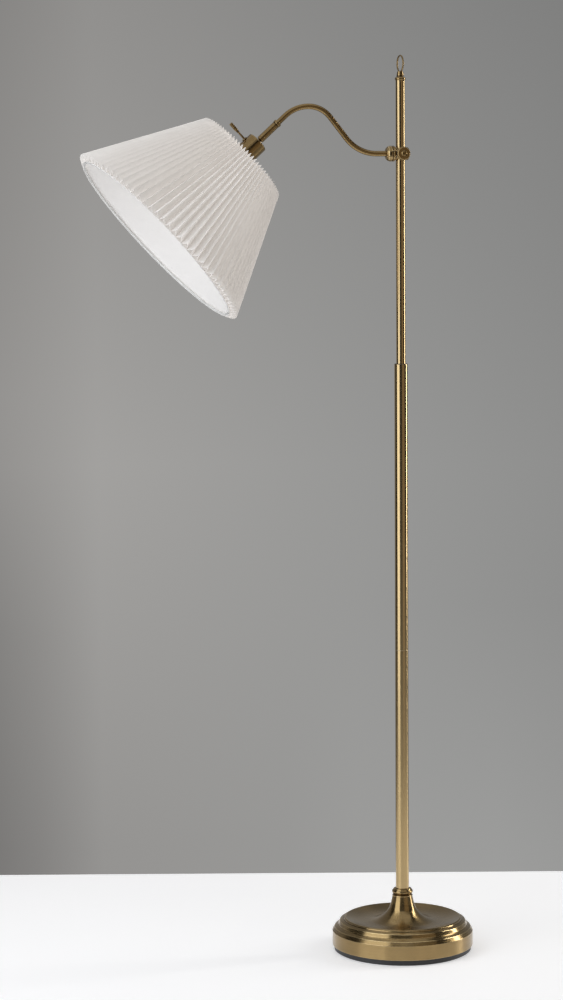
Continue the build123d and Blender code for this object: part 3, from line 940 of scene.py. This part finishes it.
@dataclass
class ArmJoint(Assembly):
    """The hub on the thin pole, its lock knob, and the drum that turns against it."""

    body: str = "upper_mast"
    height: float = 1383.0
    hub_radius: float = 11.0
    hub_left: float = 9.0
    hub_right: float = 12.0
    boss_radius: float = 7.0
    boss_end: float = 17.0
    pole_radius: float = 8.05
    tube_radius: float = 4.85
    drum_radius: float = 13.5
    drum_from: float = 10.0
    drum_to: float = 26.0
    knob_radius: float = 11.5
    knob_low: float = 17.3
    knob_high: float = 23.0
    flutes: int = 30
    flute_depth: float = 0.45
    screw_from: float = 4.9
    slit_turn: float = 62.0     # degrees

    def frames(self) -> tuple[Matrix, Matrix]:
        """The arm's frame, along -X, and the knob's, along -Y."""
        middle = (0, 0, self.height)
        return seat(middle, (-1, 0, 0), (0, 0, 1)), seat(middle, (0, -1, 0), (1, 0, 0))

    def build(self) -> None:
        """Makes the joint's pieces."""
        arm, knob = self.frames()
        self.body = "upper_mast"
        self.make_hub(arm, knob)
        end = self.hub_right
        plug = [
            (0, -end - 5.0), (4.5, -end - 4.3, 6.0), (8.5, -end - 2.2, 5.0),
            (self.hub_radius, -end - 0.6, 0.3), (self.hub_radius, -end, 0.15), (0, -end),
        ]
        self.brass(turned("hub_cap", plug, arm, 64), "hub_end_plug")
        self.body = "lock_knob"
        self.make_knob(knob)
        self.body = "arm"
        self.make_drum(arm)

    def make_hub(self, arm: Matrix, knob: Matrix) -> None:
        """Makes the hub: a barrel along the arm with a boss for the lock knob, bored for the pole.

        Args:
            arm: The frame of the arm's start.
            knob: The frame of the lock knob.
        """
        r, left, right = self.hub_radius, self.hub_left, self.hub_right
        barrel = turned("hub", [(0, -right), (r, -right, 0.3), (r, left, 0.8), (0, left)], arm, 72)
        out, far = self.boss_radius, self.boss_end
        boss = turned("boss", [(0, 2.0), (out, 2.0), (out, far, 0.5), (0, far)], knob, 56)
        low, high, out = self.height - 20, self.height + 20, self.pole_radius
        bore = turned("bore", [(0, low), (out, low), (out, high), (0, high)], UPRIGHT, 56)
        out = self.tube_radius
        across = turned("across", [(0, -20), (out, -20), (out, 20), (0, 20)], arm, 40)
        for tool, way in ((boss, "UNION"), (bore, "DIFFERENCE"), (across, "DIFFERENCE")):
            cut = barrel.modifiers.new(tool.name, "BOOLEAN")
            cut.operation, cut.object, cut.solver = way, tool, "EXACT"
        made = evaluated(barrel, "arm_hub_body")
        for tool in (boss, bore, across):
            bpy.data.objects.remove(tool)
        made.data.set_sharp_from_angle(angle=SHARP_ANGLE)
        self.brass(made, "arm_hub")

    def make_knob(self, place: Matrix) -> None:
        """Makes the fluted knob and its slotted screw.

        Args:
            place: The frame of the knob.
        """
        r, low, high = self.knob_radius, self.knob_low, self.knob_high
        dish = high - 1.6
        outline = [
            (2.6, low), (r - 1.2, low, 0.4), (r, low + 1.2, 0.5), (r, high - 1.4, 0.5), (r - 1.4, high, 0.5),
            (5.4, high, 0.3), (5.4, dish, 0.15), (2.6, dish, 0.15),
        ]
        disc = turned("disc", outline, UPRIGHT, self.flutes * 8)
        values = {"Flutes": self.flutes, "Depth": self.flute_depth * MM, "From": (r - 1.5) * MM}
        values["Material"] = TURNED_BRASS.material()
        fluted = run_tree(disc, flute_tree(), values, "fluted_knob")
        fluted.data.transform(Matrix.Translation(place.translation * MM) @ place.to_3x3().to_4x4())
        fluted.data.set_sharp_from_angle(angle=SHARP_ANGLE)
        self.brass(fluted, "lock_knob")
        outline = [
            (0, self.screw_from), (2.5, self.screw_from, 0.3), (2.5, dish, 0.0), (5.0, dish),
            (5.0, dish + 2.2, 0.5), (3.6, dish + 3.6, 1.5), (0, dish + 4.2),
        ]
        head = turned("head", outline, place, 48)
        slit = bpy.data.objects.new("slit", bpy.data.meshes.new("slit"))
        half = Vector((6.0, 0.65, 1.6))
        signs = [(x, y, z) for x in (-1, 1) for y in (-1, 1) for z in (-1, 1)]
        turn = Matrix.Rotation(math.radians(self.slit_turn), 4, "Z")
        spin = place @ turn @ Matrix.Translation((0, 0, dish + 4.4))
        faces = [(0, 1, 3, 2), (4, 6, 7, 5), (0, 4, 5, 1), (2, 3, 7, 6), (0, 2, 6, 4), (1, 5, 7, 3)]
        corners = [spin @ Vector([a * b for a, b in zip(half, s)]) for s in signs]
        slit.data.from_pydata([corner * MM for corner in corners], [], faces)
        bpy.context.scene.collection.objects.link(slit)
        cut = head.modifiers.new("slit", "BOOLEAN")
        cut.operation, cut.object, cut.solver = "DIFFERENCE", slit, "EXACT"
        made = evaluated(head, "screw_head")
        bpy.data.objects.remove(slit)
        made.data.set_sharp_from_angle(angle=SHARP_ANGLE)
        self.brass(made, "lock_screw", finish=CAST_BRASS)

    def make_drum(self, place: Matrix) -> None:
        """Makes the grooved drum at the arm's end.

        Args:
            place: The frame of the arm's start.
        """
        low, high, r, bore = self.drum_from, self.drum_to, self.drum_radius, self.tube_radius
        outline = [
            (bore, low), (10.6, low, 0.2), (10.6, low + 1.2, 0.15), (12.6, low + 1.2, 0.3),
            (r, low + 2.2, 0.5), (r, low + 4.4, 0.3), (12.7, low + 5.0, 0.15), (12.7, low + 5.8, 0.15),
            (r, low + 6.4, 0.3), (r, low + 8.2, 2.0), (12.4, low + 12.4, 4.0), (9.6, high - 0.6, 2.0),
            (7.4, high, 0.5), (bore, high, 0.3),
        ]
        self.brass(turned("drum", outline, place, 72), "arm_drum")


def flute_tree() -> bpy.types.NodeTree:
    """A tree that presses flutes into a turned rim: it moves the points outside a radius in and out.

    Returns:
        The tree.
    """
    inputs = {
        "Geometry": (Kind.SHAPE, None), "Flutes": (Kind.COUNT, 30), "Depth": (Kind.VALUE, 0.0005),
        "From": (Kind.VALUE, 0.01), "Material": (Kind.MATERIAL, None),
    }
    nodes, given, end = new_tree("flutes", "GeometryNodeTree", inputs, {"Geometry": Kind.SHAPE})
    x, y, _ = nodes.split(nodes.add("GeometryNodeInputPosition").outputs[0])
    turn = nodes.times(nodes.math("ARCTAN2", y, x), given["Flutes"])
    wave = nodes.math("POWER", nodes.math("ABSOLUTE", nodes.math("COSINE", nodes.times(turn, 0.5))), 0.6)
    radius = nodes.math("SQRT", nodes.plus(nodes.times(x, x), nodes.times(y, y)))
    share = nodes.math("GREATER_THAN", radius, given["From"])
    inwards = nodes.times(nodes.minus(wave, 1.0), nodes.times(given["Depth"], share))
    grown = nodes.math("DIVIDE", inwards, radius)
    offset = nodes.join(nodes.times(x, grown), nodes.times(y, grown), 0.0)
    moved = nodes.add("GeometryNodeSetPosition", {"Geometry": given["Geometry"], "Offset": offset})
    finish_tree(nodes, moved.outputs[0], given["Material"], end)
    return nodes.tree


def finish_tree(
    nodes: Nodes, shape: bpy.types.NodeSocket, material: bpy.types.NodeSocket, end: bpy.types.Node
) -> None:
    """Ends a geometry tree: makes its instances real and gives them their material.

    Args:
        nodes: The tree's nodes.
        shape: The finished geometry.
        material: The material's input.
        end: The tree's output node.
    """
    real = nodes.add("GeometryNodeRealizeInstances", {0: shape})
    dressed = nodes.add("GeometryNodeSetMaterial", {"Geometry": real.outputs[0], "Material": material})
    nodes.feed(end.inputs[0], dressed.outputs[0])


@dataclass
class SwanArm(Assembly):
    """The S-curved arm: its tube, the sleeve at its end and the ring that holds the ball."""

    body: str = "arm"
    height: float = 1383.0
    radius: float = 4.8
    start: float = 11.0
    first_run: float = 42.5
    rise: tuple[float, float] = (67.0, 51.5)
    rise_run: float = 46.0
    crest: tuple[float, float] = (48.0, -51.5)
    fall: tuple[float, float] = (60.0, -42.5)
    sleeve_from: float = 17.0
    ball_at: float = 57.0
    ball_gap: float = 14.0      # from the tube's end to the ball's middle
    sleeve_radius: float = 6.25
    step: float = 2.0

    def line(self) -> list[tuple[Vector, Vector]]:
        """The tube's line from the hub to the ball, as points and directions.

        Returns:
            The line's points in millimetres, each with its direction.
        """
        point, heading = Vector((self.start, 0, self.height)), 0.0
        made: list[tuple[Vector, Vector]] = []
        first, last = self.first_run + self.start, self.ball_at - self.ball_gap
        runs = (first, self.rise, self.rise_run, self.crest, self.fall, last)
        for run in runs:
            radius, turn = run if isinstance(run, tuple) else (0.0, 0.0)
            length = radius * math.radians(abs(turn)) if radius else run
            steps = max(2, math.ceil(length / self.step))
            for _ in range(steps):
                ahead = Vector((-math.cos(heading), 0, math.sin(heading)))
                made.append((point.copy(), ahead))
                change = math.radians(turn) / steps
                middle = heading + change / 2
                chord = 2 * radius * math.sin(abs(change) / 2) if radius else length / steps
                point += Vector((-math.cos(middle), 0, math.sin(middle))) * chord
                heading += change
        made.append((point, Vector((-math.cos(heading), 0, math.sin(heading)))))
        return made

    def head_frame(self) -> Matrix:
        """The frame of the head: it starts at the ball and runs down the head's axis."""
        end, ahead = self.line()[-1]
        return seat(end + ahead * self.ball_gap, ahead, (ahead.z, 0, -ahead.x))

    def build(self) -> None:
        """Makes the arm's pieces."""
        self.brass(swept("swan_tube", self.line(), self.radius), "arm_tube", finish=BENT_BRASS)
        place = self.head_frame() @ Matrix.Translation((0, 0, -self.ball_at))
        low, r, bore, ball = self.sleeve_from, self.sleeve_radius, self.radius + 0.05, self.ball_at
        sleeve = [
            (bore, low), (6.2, low, 0.3), (6.9, low + 0.8, 0.3), (6.9, low + 4.4, 0.3), (r, low + 5.2, 0.2),
            (r, ball - 3.5, 0.2), (5.4, ball - 3.5, 0.1), (5.4, ball - 13.8, 0.1), (bore, ball - 13.8, 0.1),
        ]
        self.brass(turned("sleeve", sleeve, place, 56), "arm_sleeve")
        ring = [(5.2, ball - 3.4, 0.1), (r, ball - 3.4, 0.2), (r, ball + 3.0, 0.4), (4.5, ball + 3.0, 0.2)]
        self.brass(turned("ball_ring", ring, place, 56), "ball_retainer")


@dataclass
class LampHolder(Assembly):
    """The cap of the lamp holder and its slim switch key."""

    place: Matrix = UPRIGHT
    body: str = "head"
    radius: float = 18.5
    wall: float = 1.2
    top: float = 8.0
    end: float = 54.0
    switch_at: float = 22.0
    key_tip: float = 54.5

    def build(self) -> None:
        """Makes the cap, the bushing and the key."""
        r, wall, top, end = self.radius, self.wall, self.top, self.end
        cap = [
            (4.05, top, 0.15), (4.05, top + wall, 0.15), (r - wall, top + wall, 0.8), (r - wall, end, 0.3),
            (r, end, 0.4), (r, top + 1.0, 0.8), (r - 1.0, top, 0.5),
        ]
        self.brass(turned("holder_cap", cap[::-1], self.place, 96), "socket_cap")
        key_place = self.place @ seat((0, 0, self.switch_at), (1, 0, 0), (0, 1, 0))
        bushing = [
            (1.8, 12.7), (3.0, 12.7), (3.0, r + 0.1, 0.1), (4.6, r + 0.1, 0.2), (4.6, r + 1.8, 0.4),
            (1.8, r + 1.8, 0.2),
        ]
        self.brass(turned("key_bushing", bushing, key_place, 40), "switch_bushing")
        self.body = "switch_key"
        tip = self.key_tip
        key = [
            (0, 33.4), (2.0, 33.4, 0.4), (2.2, 36.5, 3.0), (3.0, 41.0, 6.0), (3.0, tip - 0.5, 0.4),
            (2.6, tip, 0.3), (0, tip),
        ]
        self.brass(turned("key", key, key_place, 40), "switch_key")


@dataclass
class PleatedShade(Assembly):
    """The empire shade: a knife-pleated cover over a smooth liner, on a white wire frame."""

    place: Matrix = UPRIGHT
    body: str = "head"
    top_radius: float = 89.2
    top_at: float = 46.7
    mouth_radius: float = 187.5
    mouth_at: float = 242.5
    top_depth: float = 13.5
    mouth_depth: float = 12.5
    pleats: int = 84
    cloth: float = 0.45
    liner_wall: float = 0.8
    air: float = 0.4
    flat: tuple[float, float] = (2.40, 0.219)

    def cone_point(self, along: float, inward: float) -> tuple[float, float]:
        """A (radius, height) point on the line of the outer folds, moved square to it, inwards.

        Args:
            along: The share of the way from the top to the mouth.
            inward: How far inwards it is moved.

        Returns:
            The point.
        """
        rise, run = self.mouth_at - self.top_at, self.mouth_radius - self.top_radius
        slope = math.atan2(run, rise)
        radius = self.top_radius + along * run - inward * math.cos(slope)
        return radius, self.top_at + along * rise + inward * math.sin(slope)

    def build(self) -> None:
        """Makes the cover and the liner."""
        self.make_cover()
        self.make_liner()

    def make_cover(self) -> None:
        """Makes the pleated cover."""
        seed = bpy.data.objects.new("seed", bpy.data.meshes.new("seed"))
        bpy.context.scene.collection.objects.link(seed)
        values = {
            "Pleats": self.pleats, "Top radius": self.top_radius * MM, "Top at": self.top_at * MM,
            "Mouth radius": self.mouth_radius * MM, "Mouth at": self.mouth_at * MM,
            "Top depth": self.top_depth * MM, "Mouth depth": self.mouth_depth * MM,
            "Flat": (*self.flat, 0.0), "Material": PLEATED.material(),
        }
        sheet = run_tree(seed, pleat_tree(), values, "pleated_sheet")
        wall = sheet.modifiers.new("wall", "SOLIDIFY")
        wall.thickness, wall.offset = self.cloth * MM, 1.0
        cover = evaluated(sheet, "pleated_cover")
        cover.data.transform(Matrix.Translation(self.place.translation * MM) @ self.place.to_3x3().to_4x4())
        cover.data.shade_smooth()
        cover.data.set_sharp_from_angle(angle=math.radians(70))
        self.fit(cover, PLEATED, "shade_fabric", "shade_cover")

    def make_liner(self) -> None:
        """Makes the smooth liner, with slightly rounded edges at both ends."""
        air, wall = self.air, self.liner_wall
        inner, outer = self.top_depth + air + wall, self.top_depth + air
        low_in, low_out = self.cone_point(0, inner), self.cone_point(0, outer)
        inner, outer = self.mouth_depth + air + wall, self.mouth_depth + air
        high_out, high_in = self.cone_point(1, outer), self.cone_point(1, inner)
        outline = [(*low_in, 0.3), (*low_out, 0.3), (*high_out, 0.3), (*high_in, 0.3)]
        liner = turned("smooth_liner", outline, self.place, 160)
        liner.data.uv_layers[TURN_UV].name = CLOTH_UV
        self.fit(liner, LINER, "shade_liner", "shade_liner")


def pleat_tree() -> bpy.types.NodeTree:
    """A tree that folds a flat grid into knife pleats round a cone.

    The grid's X is the place round the cone and its Y the place along it. Each pleat goes in from an
    outer fold to an inner fold and out again, and leans a little to one side. Slow noise makes the
    pleats uneven, and it joins up round the cone.

    Returns:
        The tree.
    """
    inputs = {
        "Geometry": (Kind.SHAPE, None), "Pleats": (Kind.COUNT, 84), "Columns": (Kind.COUNT, 10),
        "Rows": (Kind.COUNT, 22),
        "Top radius": (Kind.VALUE, 0.09), "Top at": (Kind.VALUE, 0.0), "Mouth radius": (Kind.VALUE, 0.19),
        "Mouth at": (Kind.VALUE, 0.2), "Top depth": (Kind.VALUE, 0.013), "Mouth depth": (Kind.VALUE, 0.012),
        "Lean": (Kind.VALUE, -0.1), "Crispness": (Kind.VALUE, 0.75), "Unevenness": (Kind.VALUE, 0.16),
        "Seed": (Kind.VALUE, 4.0), "Flat": (Kind.VECTOR, (2.4, 0.22, 0.0)), "Material": (Kind.MATERIAL, None),
    }
    nodes, given, end = new_tree("knife_pleats", "GeometryNodeTree", inputs, {"Geometry": Kind.SHAPE})
    count = nodes.plus(nodes.times(given["Pleats"], given["Columns"]), 1.0)
    grid = nodes.add(
        "GeometryNodeMeshGrid",
        {"Size X": 1.0, "Size Y": 1.0, "Vertices X": count, "Vertices Y": given["Rows"]},
    )
    x, y, _ = nodes.split(nodes.add("GeometryNodeInputPosition").outputs[0])
    around, along = nodes.plus(x, 0.5), nodes.plus(y, 0.5)
    place = nodes.times(around, given["Pleats"])
    whole = nodes.math("FLOOR", nodes.plus(place, 0.0001))
    part = nodes.minus(place, whole)
    bunch = nodes.times(nodes.math("SINE", nodes.times(part, 4 * math.pi)), given["Crispness"])
    part = nodes.minus(part, nodes.math("DIVIDE", bunch, 4 * math.pi))
    out = nodes.math("ABSOLUTE", nodes.minus(nodes.times(part, 2.0), 1.0))
    inward = nodes.minus(1.0, out)

    full_turn = nodes.times(around, 2 * math.pi)
    ring = nodes.math("DIVIDE", nodes.times(given["Pleats"], 0.9), 2 * math.pi)
    drift = nodes.plus(nodes.times(along, 0.8), given["Seed"])
    spot = nodes.join(
        nodes.times(nodes.math("COSINE", full_turn), ring),
        nodes.times(nodes.math("SINE", full_turn), ring),
        drift,
    )
    sway = nodes.minus(nodes.noise(spot, 1.0, 1.0), 0.5)
    swell = nodes.minus(nodes.noise(nodes.vector("ADD", spot, (31.0, 7.0, 11.0)), 1.0, 1.0), 0.5)

    depth = nodes.plus(
        given["Top depth"],
        nodes.times(along, nodes.minus(given["Mouth depth"], given["Top depth"])),
    )
    fold = nodes.times(depth, inward)
    worn = nodes.times(nodes.times(swell, out), nodes.times(depth, 0.16))
    fold = nodes.plus(fold, nodes.math("ABSOLUTE", worn))
    lean = nodes.times(given["Lean"], inward)
    uneven = nodes.times(sway, given["Unevenness"])
    step = nodes.plus(nodes.plus(whole, part), nodes.plus(lean, uneven))
    turn = nodes.times(nodes.math("DIVIDE", step, given["Pleats"]), 2 * math.pi)

    run = nodes.minus(given["Mouth radius"], given["Top radius"])
    rise = nodes.minus(given["Mouth at"], given["Top at"])
    slant = nodes.math("SQRT", nodes.plus(nodes.times(run, run), nodes.times(rise, rise)))
    cos_slope, sin_slope = nodes.math("DIVIDE", rise, slant), nodes.math("DIVIDE", run, slant)
    radius = nodes.minus(
        nodes.plus(given["Top radius"], nodes.times(along, run)),
        nodes.times(fold, cos_slope),
    )
    height = nodes.plus(
        nodes.plus(given["Top at"], nodes.times(along, rise)),
        nodes.times(fold, sin_slope),
    )
    ends = nodes.times(nodes.times(swell, nodes.minus(along, 0.5)), -0.002)
    height = nodes.plus(height, nodes.times(ends, out))
    folded = nodes.join(
        nodes.times(radius, nodes.math("COSINE", turn)),
        nodes.times(radius, nodes.math("SINE", turn)),
        height,
    )
    pattern = nodes.vector("MULTIPLY", nodes.join(around, along, 0.0), given["Flat"])
    kept = nodes.add(
        "GeometryNodeStoreNamedAttribute",
        {"Geometry": grid.outputs["Mesh"], "Name": CLOTH_UV, "Value": pattern},
        data_type="FLOAT2", domain="CORNER",
    )
    moved = nodes.add("GeometryNodeSetPosition", {"Geometry": kept.outputs[0], "Position": folded})
    sewn = nodes.add("GeometryNodeMergeByDistance", {"Geometry": moved.outputs[0], "Distance": 0.00002})
    finish_tree(nodes, sewn.outputs[0], given["Material"], end)
    return nodes.tree


# --- The studio ---------------------------------------------------------------------------------


@dataclass(frozen=True)
class Softbox:
    """A light panel that stands round the lamp and faces it."""

    name: str
    bearing: float        # degrees from the camera's side, to its right
    distance: float
    height: float
    width: float
    tall: float
    power: float
    color: Color = (1.0, 1.0, 1.0)
    aim: float = 0.8


@dataclass
class Studio:
    """The camera, the white floor, the grey wall behind, and the lights."""

    bearing: float = 14.0
    dip: float = 5.59
    roll: float = -0.4
    eye: Vector = field(default_factory=lambda: Vector((-1.3546, -4.5783, 1.2581)))
    lens: float = 100.0
    film: float = 36.0
    floor_behind: float = 0.577
    floor_front: float = 5.0
    floor_side: float = 4.0
    painted_pool_to: float = 1.05       # how far from the lamp the painted pool of light stays white
    painted_pool_grey_from: float = 1.7      # how far from the lamp the floor is painted grey, outside the pool of light
    floor_glow: float = 0.46
    wall_behind: float = 3.0
    ceiling_height: float = 3.4
    ceiling_power: float = 36.0
    softboxes: tuple[Softbox, ...] = (
        Softbox("left_bank", -52, 2.3, 1.2, 2.0, 3.2, 40.0, (0.97, 1.0, 1.04)),
        Softbox("right_fill", 38, 3.0, 1.2, 2.4, 3.0, 6.0, (1.0, 0.78, 0.52)),
        Softbox("key_strip", 105, 3.2, 1.7, 0.6, 3.2, 56.0, (1.0, 0.98, 0.95)),
    )

    def build(self) -> None:
        """Makes the studio."""
        self.make_camera()
        self.make_floor()
        self.make_wall()
        for box in self.softboxes:
            self.make_softbox(box)
        self.make_ceiling()
        self.make_world()

    def ahead(self) -> Vector:
        """The level direction in which the camera looks."""
        turn = math.radians(self.bearing)
        return Vector((math.sin(turn), math.cos(turn), 0.0))

    def right(self) -> Vector:
        """The level direction to the camera's right."""
        ahead = self.ahead()
        return Vector((ahead.y, -ahead.x, 0.0))

    def bearing_way(self, bearing: float) -> Vector:
        """The level direction at a bearing from the camera's side, in degrees to its right."""
        turn = math.radians(bearing)
        return self.right() * math.sin(turn) - self.ahead() * math.cos(turn)

    def make_camera(self) -> None:
        """Makes the camera."""
        data = bpy.data.cameras.new("camera")
        data.lens, data.sensor_width = self.lens, self.film
        camera = bpy.data.objects.new("camera", data)
        bpy.context.scene.collection.objects.link(camera)
        dip, roll = math.radians(self.dip), math.radians(self.roll)
        look = self.ahead() * math.cos(dip) - Vector((0, 0, math.sin(dip)))
        right = self.right()
        up = right.cross(look)
        right, up = right * math.cos(roll) + up * math.sin(roll), up * math.cos(roll) - right * math.sin(roll)
        turned_to = Matrix((right, up, -look)).transposed().to_4x4()
        camera.matrix_world = Matrix.Translation(self.eye) @ turned_to
        bpy.context.scene.camera = camera

    def panel(self, name: str, corners: list[Vector]) -> bpy.types.Object:
        """Makes a flat stage piece from its corners.

        Args:
            name: The piece's name.
            corners: Its corners in metres.

        Returns:
            The piece.
        """
        mesh = bpy.data.meshes.new(name)
        mesh.from_pydata(corners, [], [tuple(range(len(corners)))])
        made = bpy.data.objects.new(name, mesh)
        bpy.context.scene.collection.objects.link(made)
        return made

    def make_floor(self) -> None:
        """Makes the white floor, whose far edge stands in front of the wall. Its colour and glow are a
        painted pool of light: white round the lamp, fading to grey further out.
        """
        ahead, right = self.ahead(), self.right()
        near, far, side = -self.floor_front, self.floor_behind, self.floor_side
        places = ((near, -side), (near, side), (far, side), (far, -side))
        floor = self.panel("floor", [ahead * a + right * r for a, r in places])
        nodes, shader, place = new_material("white_floor")
        cloud = nodes.noise(place, 1.6, 3.0)
        white = nodes.mix(cloud, (0.86, 0.86, 0.87), (0.90, 0.90, 0.91))
        reach = nodes.add("ShaderNodeVectorMath", {0: place}, operation="LENGTH").outputs["Value"]
        # A painted pool of light: the floor's colour and glow fade from white near the lamp to grey further
        # out.
        outside = nodes.spread(reach, self.painted_pool_to, self.painted_pool_grey_from, 0.0, 1.0)
        seen = nodes.mix(outside, white, (0.30, 0.30, 0.305))
        nodes.feed(shader.inputs["Base Color"], seen)
        nodes.feed(shader.inputs["Emission Color"], seen)
        plain(shader, Emission_Strength=self.floor_glow)
        nodes.feed(shader.inputs["Roughness"], nodes.spread(cloud, 0.3, 0.7, 0.45, 0.55))
        plain(shader, Specular_IOR_Level=0.3)
        floor.data.materials.append(bpy.data.materials["white_floor"])

    def make_wall(self) -> None:
        """Makes the grey wall, which can't be seen from behind. It glows with painted light and shade:
        lighter to the left and darker to the right, darker to the top, low on the left and at the far left
        edge, a little lighter low down on the right, and warmer to the left.
        """
        ahead, right = self.ahead(), self.right()
        back, side, low, high = ahead * self.wall_behind, 6.0, -4.0, 6.0
        places = ((-side, low), (side, low), (side, high), (-side, high))
        wall = self.panel("wall", [back + right * r + Vector((0, 0, z)) for r, z in places])
        nodes, shader, place = new_material("grey_wall")
        product = nodes.add("ShaderNodeVectorMath", {0: place, 1: right}, operation="DOT_PRODUCT")
        across = product.outputs["Value"]
        _, _, up = nodes.split(place)
        # Painted light and shade on the wall: these shares darken or lighten its glow by place, not by any
        # light.
        level = nodes.spread(across, -0.75, 0.2, 0.365, 0.300)
        level = nodes.minus(level, nodes.spread(across, 0.2, 0.9, 0.0, 0.045))
        lamp_side = nodes.times(
            nodes.spread(across, -0.2, 0.4, 0.0, 1.0), nodes.spread(up, -0.6, 0.2, 0.05, 0.0)
        )
        level = nodes.plus(level, lamp_side)
        darker = nodes.spread(up, 0.6, 1.9, 1.0, 0.78)
        low = nodes.times(nodes.spread(up, -0.5, 0.6, 0.22, 0.0), nodes.spread(across, -0.9, 0.0, 1.0, 0.0))
        corner = nodes.times(
            nodes.spread(across, -1.05, -0.72, 1.0, 0.0), nodes.spread(up, 0.1, 0.8, 0.34, 0.18)
        )
        light = nodes.times(nodes.times(level, darker), nodes.minus(1.0, low))
        light = nodes.times(light, nodes.minus(1.0, corner))
        warm = nodes.spread(across, -0.9, 0.2, 1.0, 0.0)
        tint = nodes.vector("SCALE", nodes.mix(warm, (1.0, 1.0, 0.985), (1.0, 0.975, 0.945)))
        nodes.feed(tint.node.inputs["Scale"], light)
        glow = nodes.add("ShaderNodeEmission", {"Color": tint, "Strength": 1.0})
        clear = nodes.add("ShaderNodeBsdfTransparent")
        back_side = nodes.add("ShaderNodeNewGeometry").outputs["Backfacing"]
        seen = nodes.add("ShaderNodeMixShader", {0: back_side, 1: glow.outputs[0], 2: clear.outputs[0]})
        out = next(n for n in nodes.tree.nodes if n.type == "OUTPUT_MATERIAL")
        nodes.feed(out.inputs["Surface"], seen.outputs[0])
        nodes.tree.nodes.remove(shader)
        wall.data.materials.append(bpy.data.materials["grey_wall"])

    def make_light(
        self, name: str, size: tuple[float, float], power: float, place: Vector, aim: Vector, color: Color
    ) -> None:
        """Makes a rectangular light that faces a point.

        Args:
            name: The light's name.
            size: Its width and height in metres.
            power: Its power in watts.
            place: Its middle.
            aim: The point it faces.
            color: Its colour.
        """
        data = bpy.data.lights.new(name, "AREA")
        data.shape = "RECTANGLE"
        data.size, data.size_y, data.energy, data.color = *size, power, color
        light = bpy.data.objects.new(name, data)
        bpy.context.scene.collection.objects.link(light)
        light.location = place
        light.rotation_mode = "QUATERNION"
        light.rotation_quaternion = (aim - place).to_track_quat("-Z", "Y")

    def make_softbox(self, box: Softbox) -> None:
        """Stands a light panel round the lamp."""
        place = self.bearing_way(box.bearing) * box.distance + Vector((0, 0, box.height))
        self.make_light(box.name, (box.width, box.tall), box.power, place, Vector((0, 0, box.aim)), box.color)

    def make_ceiling(self) -> None:
        """Hangs the large soft light over the lamp."""
        place = self.right() * -0.3 - self.ahead() * 0.3 + Vector((0, 0, self.ceiling_height))
        aim = Vector((0, 0, 0.4))
        self.make_light("ceiling", (5.0, 4.0), self.ceiling_power, place, aim, (1.0, 1.0, 1.0))

    def make_world(self) -> None:
        """Makes the dim room."""
        world = bpy.data.worlds.new("room")
        bpy.context.scene.world = world
        world.use_nodes = True
        shade = next(n for n in world.node_tree.nodes if n.type == "BACKGROUND")
        shade.inputs["Color"].default_value = (0.30, 0.29, 0.285, 1.0)
        shade.inputs["Strength"].default_value = 0.12


# --- Making the lamp ----------------------------------------------------------------------------


def dress_nodes() -> None:
    """Gives every node of the frame its finish."""
    slots = {part["node"]: part["material_slot"] for part in frame["record"]["subparts"]}
    for name, node in frame["nodes"].items():
        finish = SLOT_FINISHES[slots[name]]
        for place in node.material_slots:
            place.material = finish.material()


def main() -> None:
    """Builds the lamp and its studio."""
    logging.basicConfig(level=logging.INFO, format="%(name)s: %(message)s")
    bpy.context.scene.view_settings.view_transform = "Standard"
    Studio().build()
    dress_nodes()
    arm = SwanArm()
    head = arm.head_frame()
    for part in (Base(), LowerPole(), UpperPole(), ArmJoint(), arm, LampHolder(head), PleatedShade(head)):
        part.build()


if __name__ == "__main__":
    main()
